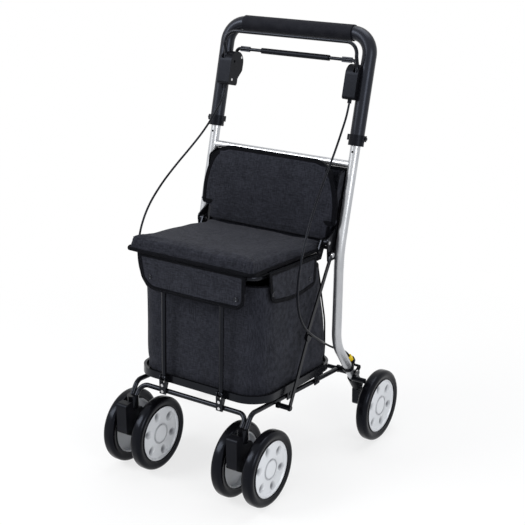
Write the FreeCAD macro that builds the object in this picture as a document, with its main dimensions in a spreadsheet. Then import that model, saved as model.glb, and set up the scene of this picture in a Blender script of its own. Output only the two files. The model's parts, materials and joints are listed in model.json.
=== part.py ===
import FreeCAD, Part
import Sketcher
import math
import os

# Shopping rollator: a folding frame with a seat, a bag on a tray, twin front casters and rear wheels.
# Millimetres and degrees. X is to the right seen from the front, Y to the rear, Z up.
# The origin is on the floor, midway between the wheels.

os.makedirs("parts", exist_ok=True)
doc = FreeCAD.newDocument("shopping_rollator")
sheet = doc.addObject("Spreadsheet::Sheet", "Sizes")

SIZES = {
    # Shares that recur: of a half width for its round corners, and of a run for its arcs
    "round_share": 0.9,
    "arc_share": 0.45,
    # Wheels
    "wheel_radius": 85,
    "wheel_width": 28,
    "tyre_shoulder": 9,
    "rim_radius": 63.5,
    "rim_lip_width": 22,
    "rim_lip_height": 4,
    "rim_web_thickness": 4,
    "rim_web_inset": 3.5,
    "hub_radius": 15,
    "hub_cap_radius": 24.5,
    "hub_cap_height": 2.5,
    "dimple_circle": 44,
    "dimple_radius": 7,
    "dimple_depth": 3,
    "dimple_taper": 30,
    "axle_radius": 4,
    "axle_end_gap": 1.5,
    "running_gap": 0.05,
    "seat_gap": 0.3,
    # Where the wheels stand
    "front_axle_y": -198,
    "rear_axle_y": 198,
    "caster_inset": 39.5,
    "twin_half": 38.8,
    "rear_outset": 53.3,
    # Casters
    "caster_trail": 35,
    "fork_half": 13.5,
    "fork_front": 42,
    "fork_nose_depth": 24,
    "fork_top": 176,
    "fork_chin": 106,
    "fork_shelf": 154,
    "fork_boss": 17,
    "fork_corner": 7,
    "stem_radius": 5,
    "stem_bottom": 120,
    "stem_top": 166,
    "socket_radius": 13,
    "socket_top": 184,
    # Uprights
    "tube_half": 187,
    "tube_radius": 11,
    "tube_wall": 1.6,
    "tube_lean": 15,
    "knee_y": 92.8,
    "knee_height": 482,
    "knee_bend": 220,
    "leg_bend_y": 89,
    "leg_bend_height": 267.7,
    "leg_bend": 90,
    "leg_lean": 36.87,
    "leg_length": 162,
    "knee_to_collar": 242.3,
    "tube_insert": 112,
    "hole_radius": 2.6,
    "hole_pitch": 25,
    "front_hole": -14,
    "bush_height": 12,
    "cross_tube_radius": 8,
    "cross_tube_drop": 42,
    # Base
    "pivot_along": 120.3,
    "pivot_radius": 5,
    "base_slope": 5.8,
    "rail_radius": 5.5,
    "rail_wall": 1.5,
    "rail_length": 371,
    "rail_bend": 22,
    "pair_gap": 0.2,
    "cross_rail_drop": 6,
    "cross_rail_bend": 20,
    "eye_radius": 9,
    "eye_thickness": 5,
    "eye_tongue": 6,
    "eye_tongue_length": 26,
    "rail_setback": 10,
    "spacer_radius": 8,
    # Tray ring, board and bag, in the tray's own tilted frame
    "tray_tilt": 4,
    "tray_y": -208.6,
    "tray_height": 238,
    "ring_inset": 17.5,
    "ring_front": 6,
    "ring_rear": 338,
    "ring_corner": 60,
    "ring_thickness": 6,
    "ring_bottom": -15,
    "ring_top": 2,
    "board_thickness": 4,
    "bag_gap": 0.4,
    "bag_wall": 3,
    "bag_below_seat": 9.9,
    "bag_top_rear": 266,
    "bag_top_corner": 40,
    # Front rods
    "rod_half": 76,
    "rod_radius": 5,
    "rod_lean": 2,
    "rod_foot_y": -208.8,
    "rod_foot_height": 235,
    "rod_below_seat": 19.3,
    "rod_eye": 5.5,
    "rod_eye_half": 4,
    "clip_half": 10,
    "clip_thickness": 3,
    "clip_gap": 0.3,
    "clip_screw_head": 3.4,
    "clip_screw_height": 1.5,
    "clip_corner": 3,
    "clip_screw_drop": 12,
    # Side stays
    "stay_thickness": 3.5,
    "stay_gap": 0.3,
    "stay_eye": 7,
    "stay_bar": 5,
    "stay_pin": 3,
    "upper_stay_inset": 10,
    "stay_top_behind": 3.5,
    "stay_top_below": 28,
    "stay_knee_y": -29.2,
    "stay_knee_height": 326,
    "stay_foot_y": -103.2,
    "stay_foot_height": 186,
    "knee_block": 9,
    "knee_block_thickness": 1.8,
    "lug_thickness": 5,
    # Side brackets and the seat's hinge
    "bracket_thickness": 3,
    "hinge_ahead": 24,
    "hinge_above_knee": 32,
    "hinge_pin": 4,
    "hinge_lug_inset": 28.5,
    "hinge_lug_thickness": 3,
    "hinge_boss": 7.2,
    "lug_corner": 5.4,
    "bracket_lobe": 9,
    "bracket_top": 120,
    "bracket_drop": 16,
    "bolt_head_radius": 5.5,
    "bolt_head_height": 3,
    # Seat and lid, in the seat's own tilted frame
    "seat_tilt": 4.5,
    "seat_behind": 13,
    "seat_below": 19.5,
    "seat_inset": 30,
    "seat_depth": 297,
    "cushion_thickness": 30,
    "cushion_crown": 4,
    "cushion_draw": 2,
    "seat_tube_radius": 6.35,
    "seat_tube_wall": 1.5,
    "seat_tube_inset": 37,
    "seat_tube_front": 275.5,
    "seat_tube_rear": 22,
    "seat_tube_bend": 35,
    "seat_tube_gap": 0.6,
    "seat_board_thickness": 6,
    "seat_board_inset": 8,
    "lid_gap": 0.3,
    # Flaps
    "flap_thickness": 3,
    "front_flap_inset": 46,
    "front_flap_drop": 73,
    "front_flap_side_drop": 39,
    "front_flap_corner": 30,
    "side_flap_inset": 20.6,
    "side_flap_rear": 55,
    "side_flap_front": 244,
    "side_flap_deep_at": 145,
    "side_flap_front_drop": 62,
    "side_flap_drop": 80,
    "side_flap_corner": 12,
    "snap_radius": 5,
    "snap_height": 2,
    "side_snap_height": 0.5,
    # Backrest and rear panel
    "backrest_inset": 8,
    "backrest_front": 26.5,
    "backrest_thickness": 14.5,
    "backrest_low": 214,
    "backrest_notch": 181,
    "backrest_high": 40,
    "backrest_corner": 49,
    "backrest_low_corner": 8,
    "panel_inset": 17,
    "panel_thickness": 5,
    "panel_low": 236,
    # Handle
    "handle_radius": 16,
    "handle_wall": 1.6,
    "handle_top": 242,
    "handle_bend": 45,
    "handle_start": 8,
    "collar_radius": 17.5,
    "collar_height": 24,
    "collar_ear": 21,
    "collar_ear_half": 6,
    "collar_ear_low": 11,
    "button_radius": 3.5,
    "button_height": 17.5,
    "button_proud": 3.2,
    "button_inner": 14.6,
    "grip_inset": 45,
    "grip_wide": 19.5,
    "grip_thick": 18,
    "grip_corner": 17.6,
    # Brake housings
    "housing_inner_inset": 35,
    "housing_outer_inset": 6,
    "housing_front": 29,
    "housing_back": 22,
    "housing_low": 97,
    "housing_top": 175,
    "housing_notch": 7,
    "housing_notch_top": 134,
    "housing_notch_low": 114,
    "housing_round": 24,
    "housing_small_round": 6,
    "housing_wall": 2.5,
    "cover_thickness": 2,
    "screw_radius": 3,
    "gland_radius": 4.5,
    "gland_height": 8,
    "cable_exit_inset": 22,
    "cable_exit_front": 18,
    # Bail and parking bar
    "bail_radius": 4,
    "bail_inset": 14,
    "bail_front": 32,
    "bail_height": 219,
    "bail_bend": 28,
    "bail_pivot_front": 21.3,
    "bail_pivot_height": 146,
    "bail_turn_height": 190,
    "bail_turn_low": 170,
    "bail_turn_bend": 14,
    "bail_eye": 4.8,
    "bail_eye_width": 5,
    "bail_pin": 2.5,
    "park_inset": 29,
    "park_radius": 3.8,
    "park_height": 183,
    "park_pivot": 158,
    "park_bend": 10,
    "park_eye": 5,
    "park_eye_width": 5,
    "park_pin": 2,
    "park_link_inner_inset": 65,
    "park_link_outer_inset": 40,
    "park_link_width": 12,
    "park_link_thickness": 4.4,
    "park_sleeve_inset": 98,
    "park_sleeve_radius": 6.5,
    "slot_gap": 1.2,
    # Rear brakes, along and behind the leg
    "brake_plate_outset": 12.3,
    "brake_plate_thickness": 4,
    "brake_plate_lobe": 9,
    "shoe_y": 148.8,
    "shoe_height": 163.3,
    "shoe_radius": 6,
    "shoe_outset": 45,
    "pull_along": 120.3,
    "pull_behind": 20,
    "pull_radius": 3,
    "pull_inset": 5,
    "cable_behind": 17,
    "clamp_radius": 14,
    "clamp_height": 8,
    "clamp_along": 97,
    "adjuster_radius": 6.5,
    "adjuster_top_radius": 5.85,
    "adjuster_waist": 3.9,
    "adjuster_groove": 1.6,
    "adjuster_ring": 6,
    "boot_radius": 5,
    "boot_length": 12,
    "sleeve_radius": 14,
    "sleeve_start": 141.3,
    "sleeve_length": 38.4,
    "axle_block_half": 8,
    "axle_block_inset": 9,
    "rear_axle_radius": 6,
    "axle_boss": 11,
    # Cables
    "cable_radius": 2.4,
    "cable_lead": 26,
    "cable_tail": 20,
}

for row, (name, number) in enumerate(SIZES.items(), start=1):
    sheet.set("A%d" % row, name)
    sheet.set("B%d" % row, str(number))
    sheet.setAlias("B%d" % row, name)
doc.recompute()


class Size:
    """A size as a number, and as the words that give it from the sheet's cells."""

    def __init__(self, number, text):
        self.number = float(number)
        self.text = text

    def __float__(self):
        return self.number

    def __add__(self, other):
        return Size(self.number + float(other), "(%s + %s)" % (self.text, text_of(other)))

    def __radd__(self, other):
        return Size(float(other) + self.number, "(%s + %s)" % (text_of(other), self.text))

    def __sub__(self, other):
        return Size(self.number - float(other), "(%s - %s)" % (self.text, text_of(other)))

    def __rsub__(self, other):
        return Size(float(other) - self.number, "(%s - %s)" % (text_of(other), self.text))

    def __mul__(self, other):
        return Size(self.number * float(other), "(%s * %s)" % (self.text, text_of(other)))

    def __rmul__(self, other):
        return Size(float(other) * self.number, "(%s * %s)" % (text_of(other), self.text))

    def __truediv__(self, other):
        return Size(self.number / float(other), "(%s / %s)" % (self.text, text_of(other)))

    def __neg__(self):
        return Size(-self.number, "(0 - %s)" % self.text)


def text_of(value):
    """The value in the sheet's words; a plain number stands for itself."""
    if isinstance(value, Size):
        return value.text
    return "(%.12g)" % float(value)


def sine(angle):
    return Size(math.sin(math.radians(float(angle))), "sin(%s * 1 deg)" % text_of(angle))


def cosine(angle):
    return Size(math.cos(math.radians(float(angle))), "cos(%s * 1 deg)" % text_of(angle))


def heading(across, up):
    """The angle about X that turns the Z axis to a direction in the YZ plane."""
    degrees = math.degrees(math.atan2(-float(across), float(up)))
    return Size(degrees, "(atan2(%s; %s) / 1 deg)" % (text_of(-across), text_of(up)))


class Named:
    """Every size by its name."""


size = Named()
for name in SIZES:
    setattr(size, name, Size(sheet.get(name), "Sizes." + name))


class Frame:
    """A frame turned about X by an angle, with its origin in the YZ plane."""

    def __init__(self, angle, origin_y, origin_z):
        self.angle = angle
        self.origin = (origin_y, origin_z)

    def point(self, y, z):
        """Where a point of this frame stands."""
        return (
            self.origin[0] + y * cosine(self.angle) - z * sine(self.angle),
            self.origin[1] + y * sine(self.angle) + z * cosine(self.angle),
        )

    def local(self, y, z):
        """A standing point as this frame sees it."""
        across = y - self.origin[0]
        up = z - self.origin[1]
        return (
            across * cosine(self.angle) + up * sine(self.angle),
            up * cosine(self.angle) - across * sine(self.angle),
        )


zero = Size(0, "0")

# Places across the frame, all from the middle of the uprights
caster_half = size.tube_half - size.caster_inset
ring_half = size.tube_half - size.ring_inset
upper_stay_inner = size.tube_half - size.upper_stay_inset
hinge_lug_inner = size.tube_half - size.hinge_lug_inset
seat_half = size.tube_half - size.seat_inset
seat_tube_half = size.tube_half - size.seat_tube_inset
front_flap_half = size.tube_half - size.front_flap_inset
side_flap_half = size.tube_half - size.side_flap_inset
backrest_half = size.tube_half - size.backrest_inset
panel_half = size.tube_half - size.panel_inset
grip_half = size.tube_half - size.grip_inset
housing_inner = size.tube_half - size.housing_inner_inset
housing_outer = size.tube_half - size.housing_outer_inset
cable_exit_half = size.tube_half - size.cable_exit_inset
bail_half = size.tube_half - size.bail_inset
park_half = size.tube_half - size.park_inset
park_link_inner = size.tube_half - size.park_link_inner_inset
park_link_outer = size.tube_half - size.park_link_outer_inset
park_sleeve_half = size.tube_half - size.park_sleeve_inset
pull_inner = size.tube_half - size.pull_inset
axle_block_inner = size.tube_half - size.axle_block_inset
rear_half = size.tube_half + size.rear_outset
brake_plate_inner = size.tube_half + size.brake_plate_outset
shoe_end = size.tube_half + size.shoe_outset

# Frames along the side view
floor = Frame(zero, zero, zero)
collar_y = size.knee_y + size.knee_to_collar * sine(size.tube_lean)
collar_height = size.knee_height + size.knee_to_collar * cosine(size.tube_lean)
upright = Frame(-size.tube_lean, collar_y, collar_height)
leg = Frame(size.leg_lean, size.leg_bend_y, size.leg_bend_height)
pivot_y, pivot_z = leg.point(zero, -size.pivot_along)
base = Frame(-size.base_slope, pivot_y, pivot_z)
tray = Frame(-size.tray_tilt, size.tray_y, size.tray_height)
hinge_y = size.knee_y - size.hinge_ahead
hinge_height = size.knee_height + size.hinge_above_knee
stay_top_y = hinge_y + size.stay_top_behind
stay_top_height = hinge_height - size.stay_top_below
seat_y = hinge_y + size.seat_behind
seat_height = hinge_height - size.seat_below
seat = Frame(-size.seat_tilt, seat_y, seat_height)
bag_top = (seat_height - size.tray_height) * cosine(size.tray_tilt) - size.bag_below_seat

NODES = {}
serial = iter(range(1, 100000))


def bind(obj, prop, value):
    obj.setExpression(prop, text_of(value))


def tag(stem):
    """A name of its own for each helper object."""
    return "%s_%d" % (stem, next(serial))


def node(name, obj):
    """Gives a finished piece its label, which names its file."""
    obj.Label = name
    NODES[name] = obj
    return obj


def place(obj, x, y, z, angle=None, axis=(1, 0, 0)):
    """Stands an object at a point, turned about one axis, tied to the sheet."""
    turn = FreeCAD.Rotation()
    if angle is not None:
        forward = float(angle) >= 0
        way = FreeCAD.Vector(*axis) * (1 if forward else -1)
        turn = FreeCAD.Rotation(way, abs(float(angle)))
    obj.Placement = FreeCAD.Placement(FreeCAD.Vector(float(x), float(y), float(z)), turn)
    bind(obj, "Placement.Base.x", x)
    bind(obj, "Placement.Base.y", y)
    bind(obj, "Placement.Base.z", z)
    if isinstance(angle, Size) and float(angle) != 0:
        bind(obj, "Placement.Rotation.Angle", angle if forward else -angle)
    return obj


def in_frame(obj, frame, x, y, z, extra=0):
    """Stands an object in a tilted frame, turned with it and by a further angle."""
    across, up = frame.point(y, z)
    return place(obj, x, across, up, frame.angle + extra)


def cylinder(radius, height):
    obj = doc.addObject("Part::Cylinder", tag("round"))
    obj.Radius = float(radius)
    obj.Height = float(height)
    bind(obj, "Radius", radius)
    bind(obj, "Height", height)
    return obj


def box(length, width, height):
    obj = doc.addObject("Part::Box", tag("block"))
    for prop, value in (("Length", length), ("Width", width), ("Height", height)):
        setattr(obj, prop, float(value))
        bind(obj, prop, value)
    return obj


def rod_across(radius, start, end, y, z):
    """A round bar along X, from start to end."""
    return place(cylinder(radius, end - start), start, y, z, 90, (0, 1, 0))


def box_in_frame(frame, x0, x1, y0, y1, z0, z1):
    return in_frame(box(x1 - x0, y1 - y0, z1 - z0), frame, x0, y0, z0)


def joined(*pieces):
    obj = doc.addObject("Part::MultiFuse", tag("joined"))
    obj.Shapes = list(pieces)
    return obj


def cut(piece, *tools):
    obj = doc.addObject("Part::Cut", tag("cut"))
    obj.Base = piece
    obj.Tool = tools[0] if len(tools) == 1 else joined(*tools)
    return obj


def together(*pieces):
    obj = doc.addObject("Part::Compound", tag("set"))
    obj.Links = list(pieces)
    return obj


def mirrored(piece):
    """The same piece on the other side of the middle plane."""
    obj = doc.addObject("Part::Mirroring", tag("mirrored"))
    obj.Source = piece
    obj.Normal = FreeCAD.Vector(1, 0, 0)
    return obj


def both_sides(name, piece):
    """One node for each side."""
    node(name + "_right", piece)
    node(name + "_left", mirrored(piece))


def pair(name, piece):
    """One node that holds the pieces of both sides."""
    node(name, together(piece, mirrored(piece)))


def new_body(stem):
    body = doc.addObject("PartDesign::Body", tag(stem))
    body.AllowCompound = True
    return body


def origin_plane(body, role):
    return [plane for plane in body.Origin.OriginFeatures if plane.Role == role][0]


def new_sketch(body, role):
    sketch = body.newObject("Sketcher::SketchObject", tag("outline"))
    sketch.AttachmentSupport = [(origin_plane(body, role), "")]
    sketch.MapMode = "FlatFace"
    return sketch


def constrain(sketch, value, *parts):
    """Adds a measured constraint and ties it to the sheet."""
    index = sketch.addConstraint(Sketcher.Constraint(*parts, float(value)))
    sketch.setExpression("Constraints[%d]" % index, text_of(value))


def hold(sketch, geometry, point, across, up):
    """Holds a sketch point at two sizes from the origin."""
    constrain(sketch, across, "DistanceX", -1, 1, geometry, point)
    constrain(sketch, up, "DistanceY", -1, 1, geometry, point)


def draw_circle(sketch, across, up, radius):
    centre = FreeCAD.Vector(float(across), float(up), 0)
    normal = FreeCAD.Vector(0, 0, 1)
    circle = sketch.addGeometry(Part.Circle(centre, normal, float(radius)))
    hold(sketch, circle, 3, across, up)
    constrain(sketch, radius, "Radius", circle)


def rounded_corner(before, here, after, radius):
    """The arc that rounds one corner: where it starts and ends, the arc, and if it turns left."""
    into = (here - before).normalize()
    out = (after - here).normalize()
    reach = radius * math.tan(into.getAngle(out) / 2)
    left = into.cross(out).z > 0
    side = FreeCAD.Vector(-into.y, into.x, 0) * (1 if left else -1)
    start = here - into * reach
    end = here + out * reach
    centre = start + side * radius
    ends = (start, end) if left else (end, start)
    angles = [math.atan2(p.y - centre.y, p.x - centre.x) for p in ends]
    if angles[1] < angles[0]:
        angles[1] += 2 * math.pi
    circle = Part.Circle(centre, FreeCAD.Vector(0, 0, 1), radius)
    return start, end, Part.ArcOfCircle(circle, angles[0], angles[1]), left


def draw_corners(sketch, corners, closed=True):
    """Draws lines from corner to corner; a corner with a third value is rounded to that radius."""
    count = len(corners)
    flat = [FreeCAD.Vector(float(corner[0]), float(corner[1]), 0) for corner in corners]
    rounds = []
    for i, corner in enumerate(corners):
        inside = closed or 0 < i < count - 1
        if len(corner) > 2 and inside:
            rounds.append(rounded_corner(flat[i - 1], flat[i], flat[(i + 1) % count], float(corner[2])))
        else:
            rounds.append((flat[i], flat[i], None, None))
    lines = []
    for i in range(count if closed else count - 1):
        line = Part.LineSegment(rounds[i][1], rounds[(i + 1) % count][0])
        lines.append(sketch.addGeometry(line))
    for i, corner in enumerate(corners):
        arc, left = rounds[i][2:]
        before = lines[i - 1] if closed or i > 0 else None
        after = lines[i] if i < len(lines) else None
        if arc is None:
            if before is not None and after is not None:
                sketch.addConstraint(Sketcher.Constraint("Coincident", before, 2, after, 1))
            line, end = (after, 1) if after is not None else (before, 2)
            hold(sketch, line, end, corner[0], corner[1])
            continue
        bend = sketch.addGeometry(arc)
        point = sketch.addGeometry(Part.Point(flat[i]), True)
        first, last = (1, 2) if left else (2, 1)
        sketch.addConstraint(Sketcher.Constraint("Tangent", before, 2, bend, first))
        sketch.addConstraint(Sketcher.Constraint("Tangent", bend, last, after, 1))
        sketch.addConstraint(Sketcher.Constraint("PointOnObject", point, 1, before))
        sketch.addConstraint(Sketcher.Constraint("PointOnObject", point, 1, after))
        hold(sketch, point, 1, corner[0], corner[1])
        constrain(sketch, corner[2], "Radius", bend)


def draw_loops(sketch, outline, holes):
    draw_corners(sketch, outline)
    for hole in holes:
        if isinstance(hole, list):
            draw_corners(sketch, hole)
        else:
            draw_circle(sketch, *hole)


def pad(sketch, body, length, midplane=False):
    feature = body.newObject("PartDesign::Pad", tag("pad"))
    feature.Profile = sketch
    feature.Length = float(length)
    feature.Midplane = midplane
    bind(feature, "Length", length)
    return feature


def plate(outline, start, end, holes=(), frame=floor):
    """A flat piece with its outline in the YZ plane of a frame, from start to end along X."""
    body = new_body("plate")
    sketch = new_sketch(body, "YZ_Plane")
    draw_loops(sketch, outline, holes)
    pad(sketch, body, end - start)
    return in_frame(body, frame, start, zero, zero)


def panel(outline, front, thickness, frame, holes=()):
    """A flat piece with its outline in the XZ plane of a frame, thickness towards the rear."""
    body = new_body("panel")
    sketch = new_sketch(body, "XZ_Plane")
    draw_loops(sketch, outline, holes)
    feature = pad(sketch, body, thickness)
    feature.Reversed = True
    return in_frame(body, frame, zero, front, zero)


def slab(outline, low, high, frame, holes=()):
    """A flat piece with its outline in the XY plane of a frame, from low to high."""
    body = new_body("slab")
    sketch = new_sketch(body, "XY_Plane")
    draw_loops(sketch, outline, holes)
    pad(sketch, body, high - low)
    return in_frame(body, frame, zero, zero, low)


def swept(body, path, radius, wall):
    """Runs a round tube along a path that leaves the body's origin along Z; no wall is a solid rod."""
    section = new_sketch(body, "XY_Plane")
    draw_circle(section, zero, zero, radius)
    if wall is not None:
        draw_circle(section, zero, zero, radius - wall)
    pipe = body.newObject("PartDesign::AdditivePipe", tag("pipe"))
    pipe.Profile = section
    pipe.Spine = path
    return body


def side_tube(x, corners, radius, wall=None):
    """A tube bent in the YZ plane through standing corners."""
    body = new_body("tube")
    angle = heading(corners[1][0] - corners[0][0], corners[1][1] - corners[0][1])
    own = Frame(angle, corners[0][0], corners[0][1])
    path = new_sketch(body, "YZ_Plane")
    seen = [own.local(corner[0], corner[1]) + tuple(corner[2:]) for corner in corners]
    draw_corners(path, seen, closed=False)
    swept(body, path, radius, wall)
    return place(body, x, corners[0][0], corners[0][1], angle)


def arch_tube(half, reach, bend, radius, wall, foot_y, foot_z, angle):
    """A tube bent to a U in a tilted plane: up one side, across and down the other."""
    body = new_body("arch")
    path = new_sketch(body, "XZ_Plane")
    far = -(half + half)
    corners = [(zero, zero), (zero, reach, bend), (far, reach, bend), (far, zero)]
    draw_corners(path, corners, closed=False)
    swept(body, path, radius, wall)
    return place(body, half, foot_y, foot_z, angle)


def turned(outline, x, y, z, angle=None, axis=(1, 0, 0)):
    """A piece turned about its own X axis, from an outline of places along and radii."""
    body = new_body("turned")
    sketch = new_sketch(body, "XY_Plane")
    draw_corners(sketch, outline)
    feature = body.newObject("PartDesign::Revolution", tag("turning"))
    feature.Profile = sketch
    feature.ReferenceAxis = (sketch, ["H_Axis"])
    feature.Angle = 360
    return place(body, x, y, z, angle, axis)


def route_of(points):
    """Straight runs joined by tangent arcs, each as large as its two runs allow; returns also the radii."""
    corners = [FreeCAD.Vector(*[float(c) for c in point]) for point in points]
    edges, radii = [], []
    start = corners[0]
    for before, here, after in zip(corners, corners[1:], corners[2:]):
        into = (here - before).normalize()
        out = (after - here).normalize()
        half = into.getAngle(out) / 2
        reach = float(size.arc_share) * min(here.distanceToPoint(before), here.distanceToPoint(after))
        radius = reach / math.tan(half)
        towards = (out - into).normalize()
        first = here - into * reach
        last = here + out * reach
        middle = here + towards * (radius / math.cos(half) - radius)
        edges.append(Part.LineSegment(start, first).toShape())
        edges.append(Part.Arc(first, middle, last).toShape())
        radii.append(radius)
        start = last
    edges.append(Part.LineSegment(start, corners[-1]).toShape())
    return Part.Wire(edges), radii


def bent_wire(points):
    """Straight runs joined by arcs of the radii given with the points."""
    corners = [FreeCAD.Vector(*[float(c) for c in point[:3]]) for point in points]
    edges = []
    start = corners[0]
    for i in range(1, len(corners) - 1):
        into = (corners[i] - corners[i - 1]).normalize()
        out = (corners[i + 1] - corners[i]).normalize()
        half = into.getAngle(out) / 2
        radius = float(points[i][3])
        reach = radius * math.tan(half)
        first = corners[i] - into * reach
        last = corners[i] + out * reach
        middle = corners[i] + (out - into).normalize() * (radius / math.cos(half) - radius)
        edges.append(Part.LineSegment(start, first).toShape())
        edges.append(Part.Arc(first, middle, last).toShape())
        start = last
    edges.append(Part.LineSegment(start, corners[-1]).toShape())
    return Part.Wire(edges)


def rod_shape(wire, radius):
    """A round rod along a wire."""
    start = wire.Edges[0].Vertexes[0].Point
    direction = wire.Edges[0].tangentAt(wire.Edges[0].FirstParameter)
    circle = Part.Wire(Part.Circle(start, direction, float(radius)).toShape())
    return wire.makePipeShell([circle], True, False)


def free_piece(shape):
    """A piece whose shape is worked out in this script from the sheet's sizes."""
    obj = doc.addObject("Part::Feature", tag("shaped"))
    obj.Shape = shape
    obj.Placement = FreeCAD.Placement()
    return obj


# Wheels
dimple_count = 6
wheel_half = size.wheel_width / 2
lip_half = size.rim_lip_width / 2
web_outer = lip_half - size.rim_web_inset
web_inner = web_outer - size.rim_web_thickness
bore_radius = size.axle_radius + size.running_gap


def wheel(name, x, y, outward, inner_reach):
    """A tyre and a rim; the closed cap is on the outward side, the hub reaches inward."""
    angle = None if outward > 0 else 180
    tyre = turned(
        [
            (-wheel_half, size.rim_radius),
            (wheel_half, size.rim_radius),
            (wheel_half, size.wheel_radius, size.tyre_shoulder),
            (-wheel_half, size.wheel_radius, size.tyre_shoulder),
        ],
        x, y, size.wheel_radius, angle, (0, 0, 1),
    )
    node("tyre_" + name, tyre)
    cap_face = web_outer + size.hub_cap_height
    lip_inner = size.rim_radius - size.rim_lip_height
    outline = [
        (-inner_reach, bore_radius),
        (web_outer - size.axle_end_gap, bore_radius),
        (web_outer - size.axle_end_gap, zero),
        (cap_face, zero),
        (cap_face, size.hub_cap_radius - size.hub_cap_height),
        (web_outer, size.hub_cap_radius),
        (web_outer, lip_inner),
        (lip_half, lip_inner),
        (lip_half, size.rim_radius),
        (-lip_half, size.rim_radius),
        (-lip_half, lip_inner),
        (web_inner, lip_inner),
        (web_inner, size.hub_radius),
        (-inner_reach, size.hub_radius),
    ]
    rim = turned(outline, x, y, size.wheel_radius, angle, (0, 0, 1))
    doc.recompute()
    sketch = new_sketch(rim, "YZ_Plane")
    sketch.AttachmentOffset.Base.z = float(web_outer)
    bind(sketch, "AttachmentOffset.Base.z", web_outer)
    draw_circle(sketch, zero, size.dimple_circle, size.dimple_radius)
    dimple = rim.newObject("PartDesign::Pocket", tag("dimple"))
    dimple.Profile = sketch
    dimple.Length = float(size.dimple_depth)
    bind(dimple, "Length", size.dimple_depth)
    dimple.TaperAngle = -float(size.dimple_taper)
    bind(dimple, "TaperAngle", -size.dimple_taper)
    ring = rim.newObject("PartDesign::PolarPattern", tag("ring"))
    ring.Originals = [dimple]
    ring.Axis = ([line for line in rim.Origin.OriginFeatures if line.Role == "X_Axis"][0], [""])
    ring.Angle = 360
    ring.Occurrences = dimple_count
    rim.Tip = ring
    node("rim_" + name, rim)
    return rim


hub_inner = size.twin_half - size.fork_half - size.seat_gap
for side, word in ((1, "right"), (-1, "left")):
    for outward, place_word in ((1, "outer"), (-1, "inner")):
        way = side * outward
        wheel(
            "front_%s_%s" % (word, place_word),
            side * caster_half + way * size.twin_half,
            size.front_axle_y, way, hub_inner,
        )
rear_hub_reach = wheel_half
for side, word in ((1, "right"), (-1, "left")):
    wheel("rear_" + word, side * rear_half, size.rear_axle_y, side, rear_hub_reach)

# Casters
swivel_y = size.front_axle_y - size.caster_trail
nose_y = swivel_y - size.fork_front
nose_back = nose_y + size.fork_nose_depth
boss_corner = size.fork_boss * size.round_share
fork_outline = [
    (nose_y, size.fork_chin, size.fork_corner),
    (size.front_axle_y - size.fork_boss, size.wheel_radius - size.fork_boss, size.fork_corner),
    (size.front_axle_y + size.fork_boss, size.wheel_radius - size.fork_boss, boss_corner),
    (size.front_axle_y + size.fork_boss, size.wheel_radius + size.fork_boss, boss_corner),
    (swivel_y + size.socket_radius, size.fork_shelf, size.fork_corner),
    (nose_back, size.fork_shelf),
    (nose_back, size.fork_top, size.fork_corner / 2),
    (nose_y, size.fork_top, size.fork_corner),
]
fork_block = plate(
    fork_outline,
    caster_half - size.fork_half,
    caster_half + size.fork_half,
    [(size.front_axle_y, size.wheel_radius, size.axle_radius + size.running_gap)],
)
stem_hole = place(
    cylinder(size.stem_radius, size.fork_shelf - size.stem_bottom + size.seat_gap),
    caster_half, swivel_y, size.stem_bottom,
)
both_sides("caster_fork", cut(fork_block, stem_hole))
stem = place(
    cylinder(size.stem_radius, size.stem_top - size.stem_bottom),
    caster_half, swivel_y, size.stem_bottom,
)
caster_axle_reach = size.twin_half + web_outer - size.axle_end_gap * 2
caster_axle = rod_across(
    size.axle_radius,
    caster_half - caster_axle_reach,
    caster_half + caster_axle_reach,
    size.front_axle_y, size.wheel_radius,
)
both_sides("caster_pins", together(stem, caster_axle))

# Base rails and the front cross tube
corner_y, corner_z = base.point(-size.rail_length, zero)
rail_end_z = size.stem_top + size.rail_radius + size.bolt_head_height
rail_half = caster_half + size.rail_radius + size.pair_gap / 2
cross_half = caster_half - size.rail_radius - size.pair_gap / 2
rail_start_y, rail_start_z = base.point(-size.rail_setback, zero)
pair(
    "base_rails",
    side_tube(
        rail_half,
        [
            (rail_start_y, rail_start_z),
            (corner_y, corner_z, size.rail_bend),
            (swivel_y, rail_end_z),
        ],
        size.rail_radius, size.rail_wall,
    ),
)
cross_z = corner_z - size.cross_rail_drop
down_angle = heading(corner_y - swivel_y, cross_z - rail_end_z)
cross_reach = (cross_z - rail_end_z) / cosine(down_angle)
cross_rail = arch_tube(
    cross_half, cross_reach, size.cross_rail_bend, size.rail_radius, size.rail_wall,
    swivel_y, rail_end_z, down_angle,
)
node("front_cross_tube", cross_rail)


def tube_end_tool(half, y, z, angle):
    """The solid end of a tube, to clear its seat."""
    tool = cylinder(size.rail_radius, size.socket_top)
    return place(tool, half, y, z, angle)


socket_low = size.fork_shelf + size.seat_gap
socket_block = place(
    cylinder(size.socket_radius, size.socket_top - socket_low), caster_half, swivel_y, socket_low,
)
socket_bore = place(
    cylinder(size.stem_radius + size.running_gap, size.stem_top + size.seat_gap - socket_low),
    caster_half, swivel_y, socket_low,
)
rail_angle = heading(corner_y - swivel_y, corner_z - rail_end_z)
socket = cut(
    socket_block, socket_bore,
    tube_end_tool(rail_half, swivel_y, rail_end_z, rail_angle),
    tube_end_tool(cross_half, swivel_y, rail_end_z, down_angle),
)
pair("caster_sockets", socket)

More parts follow.
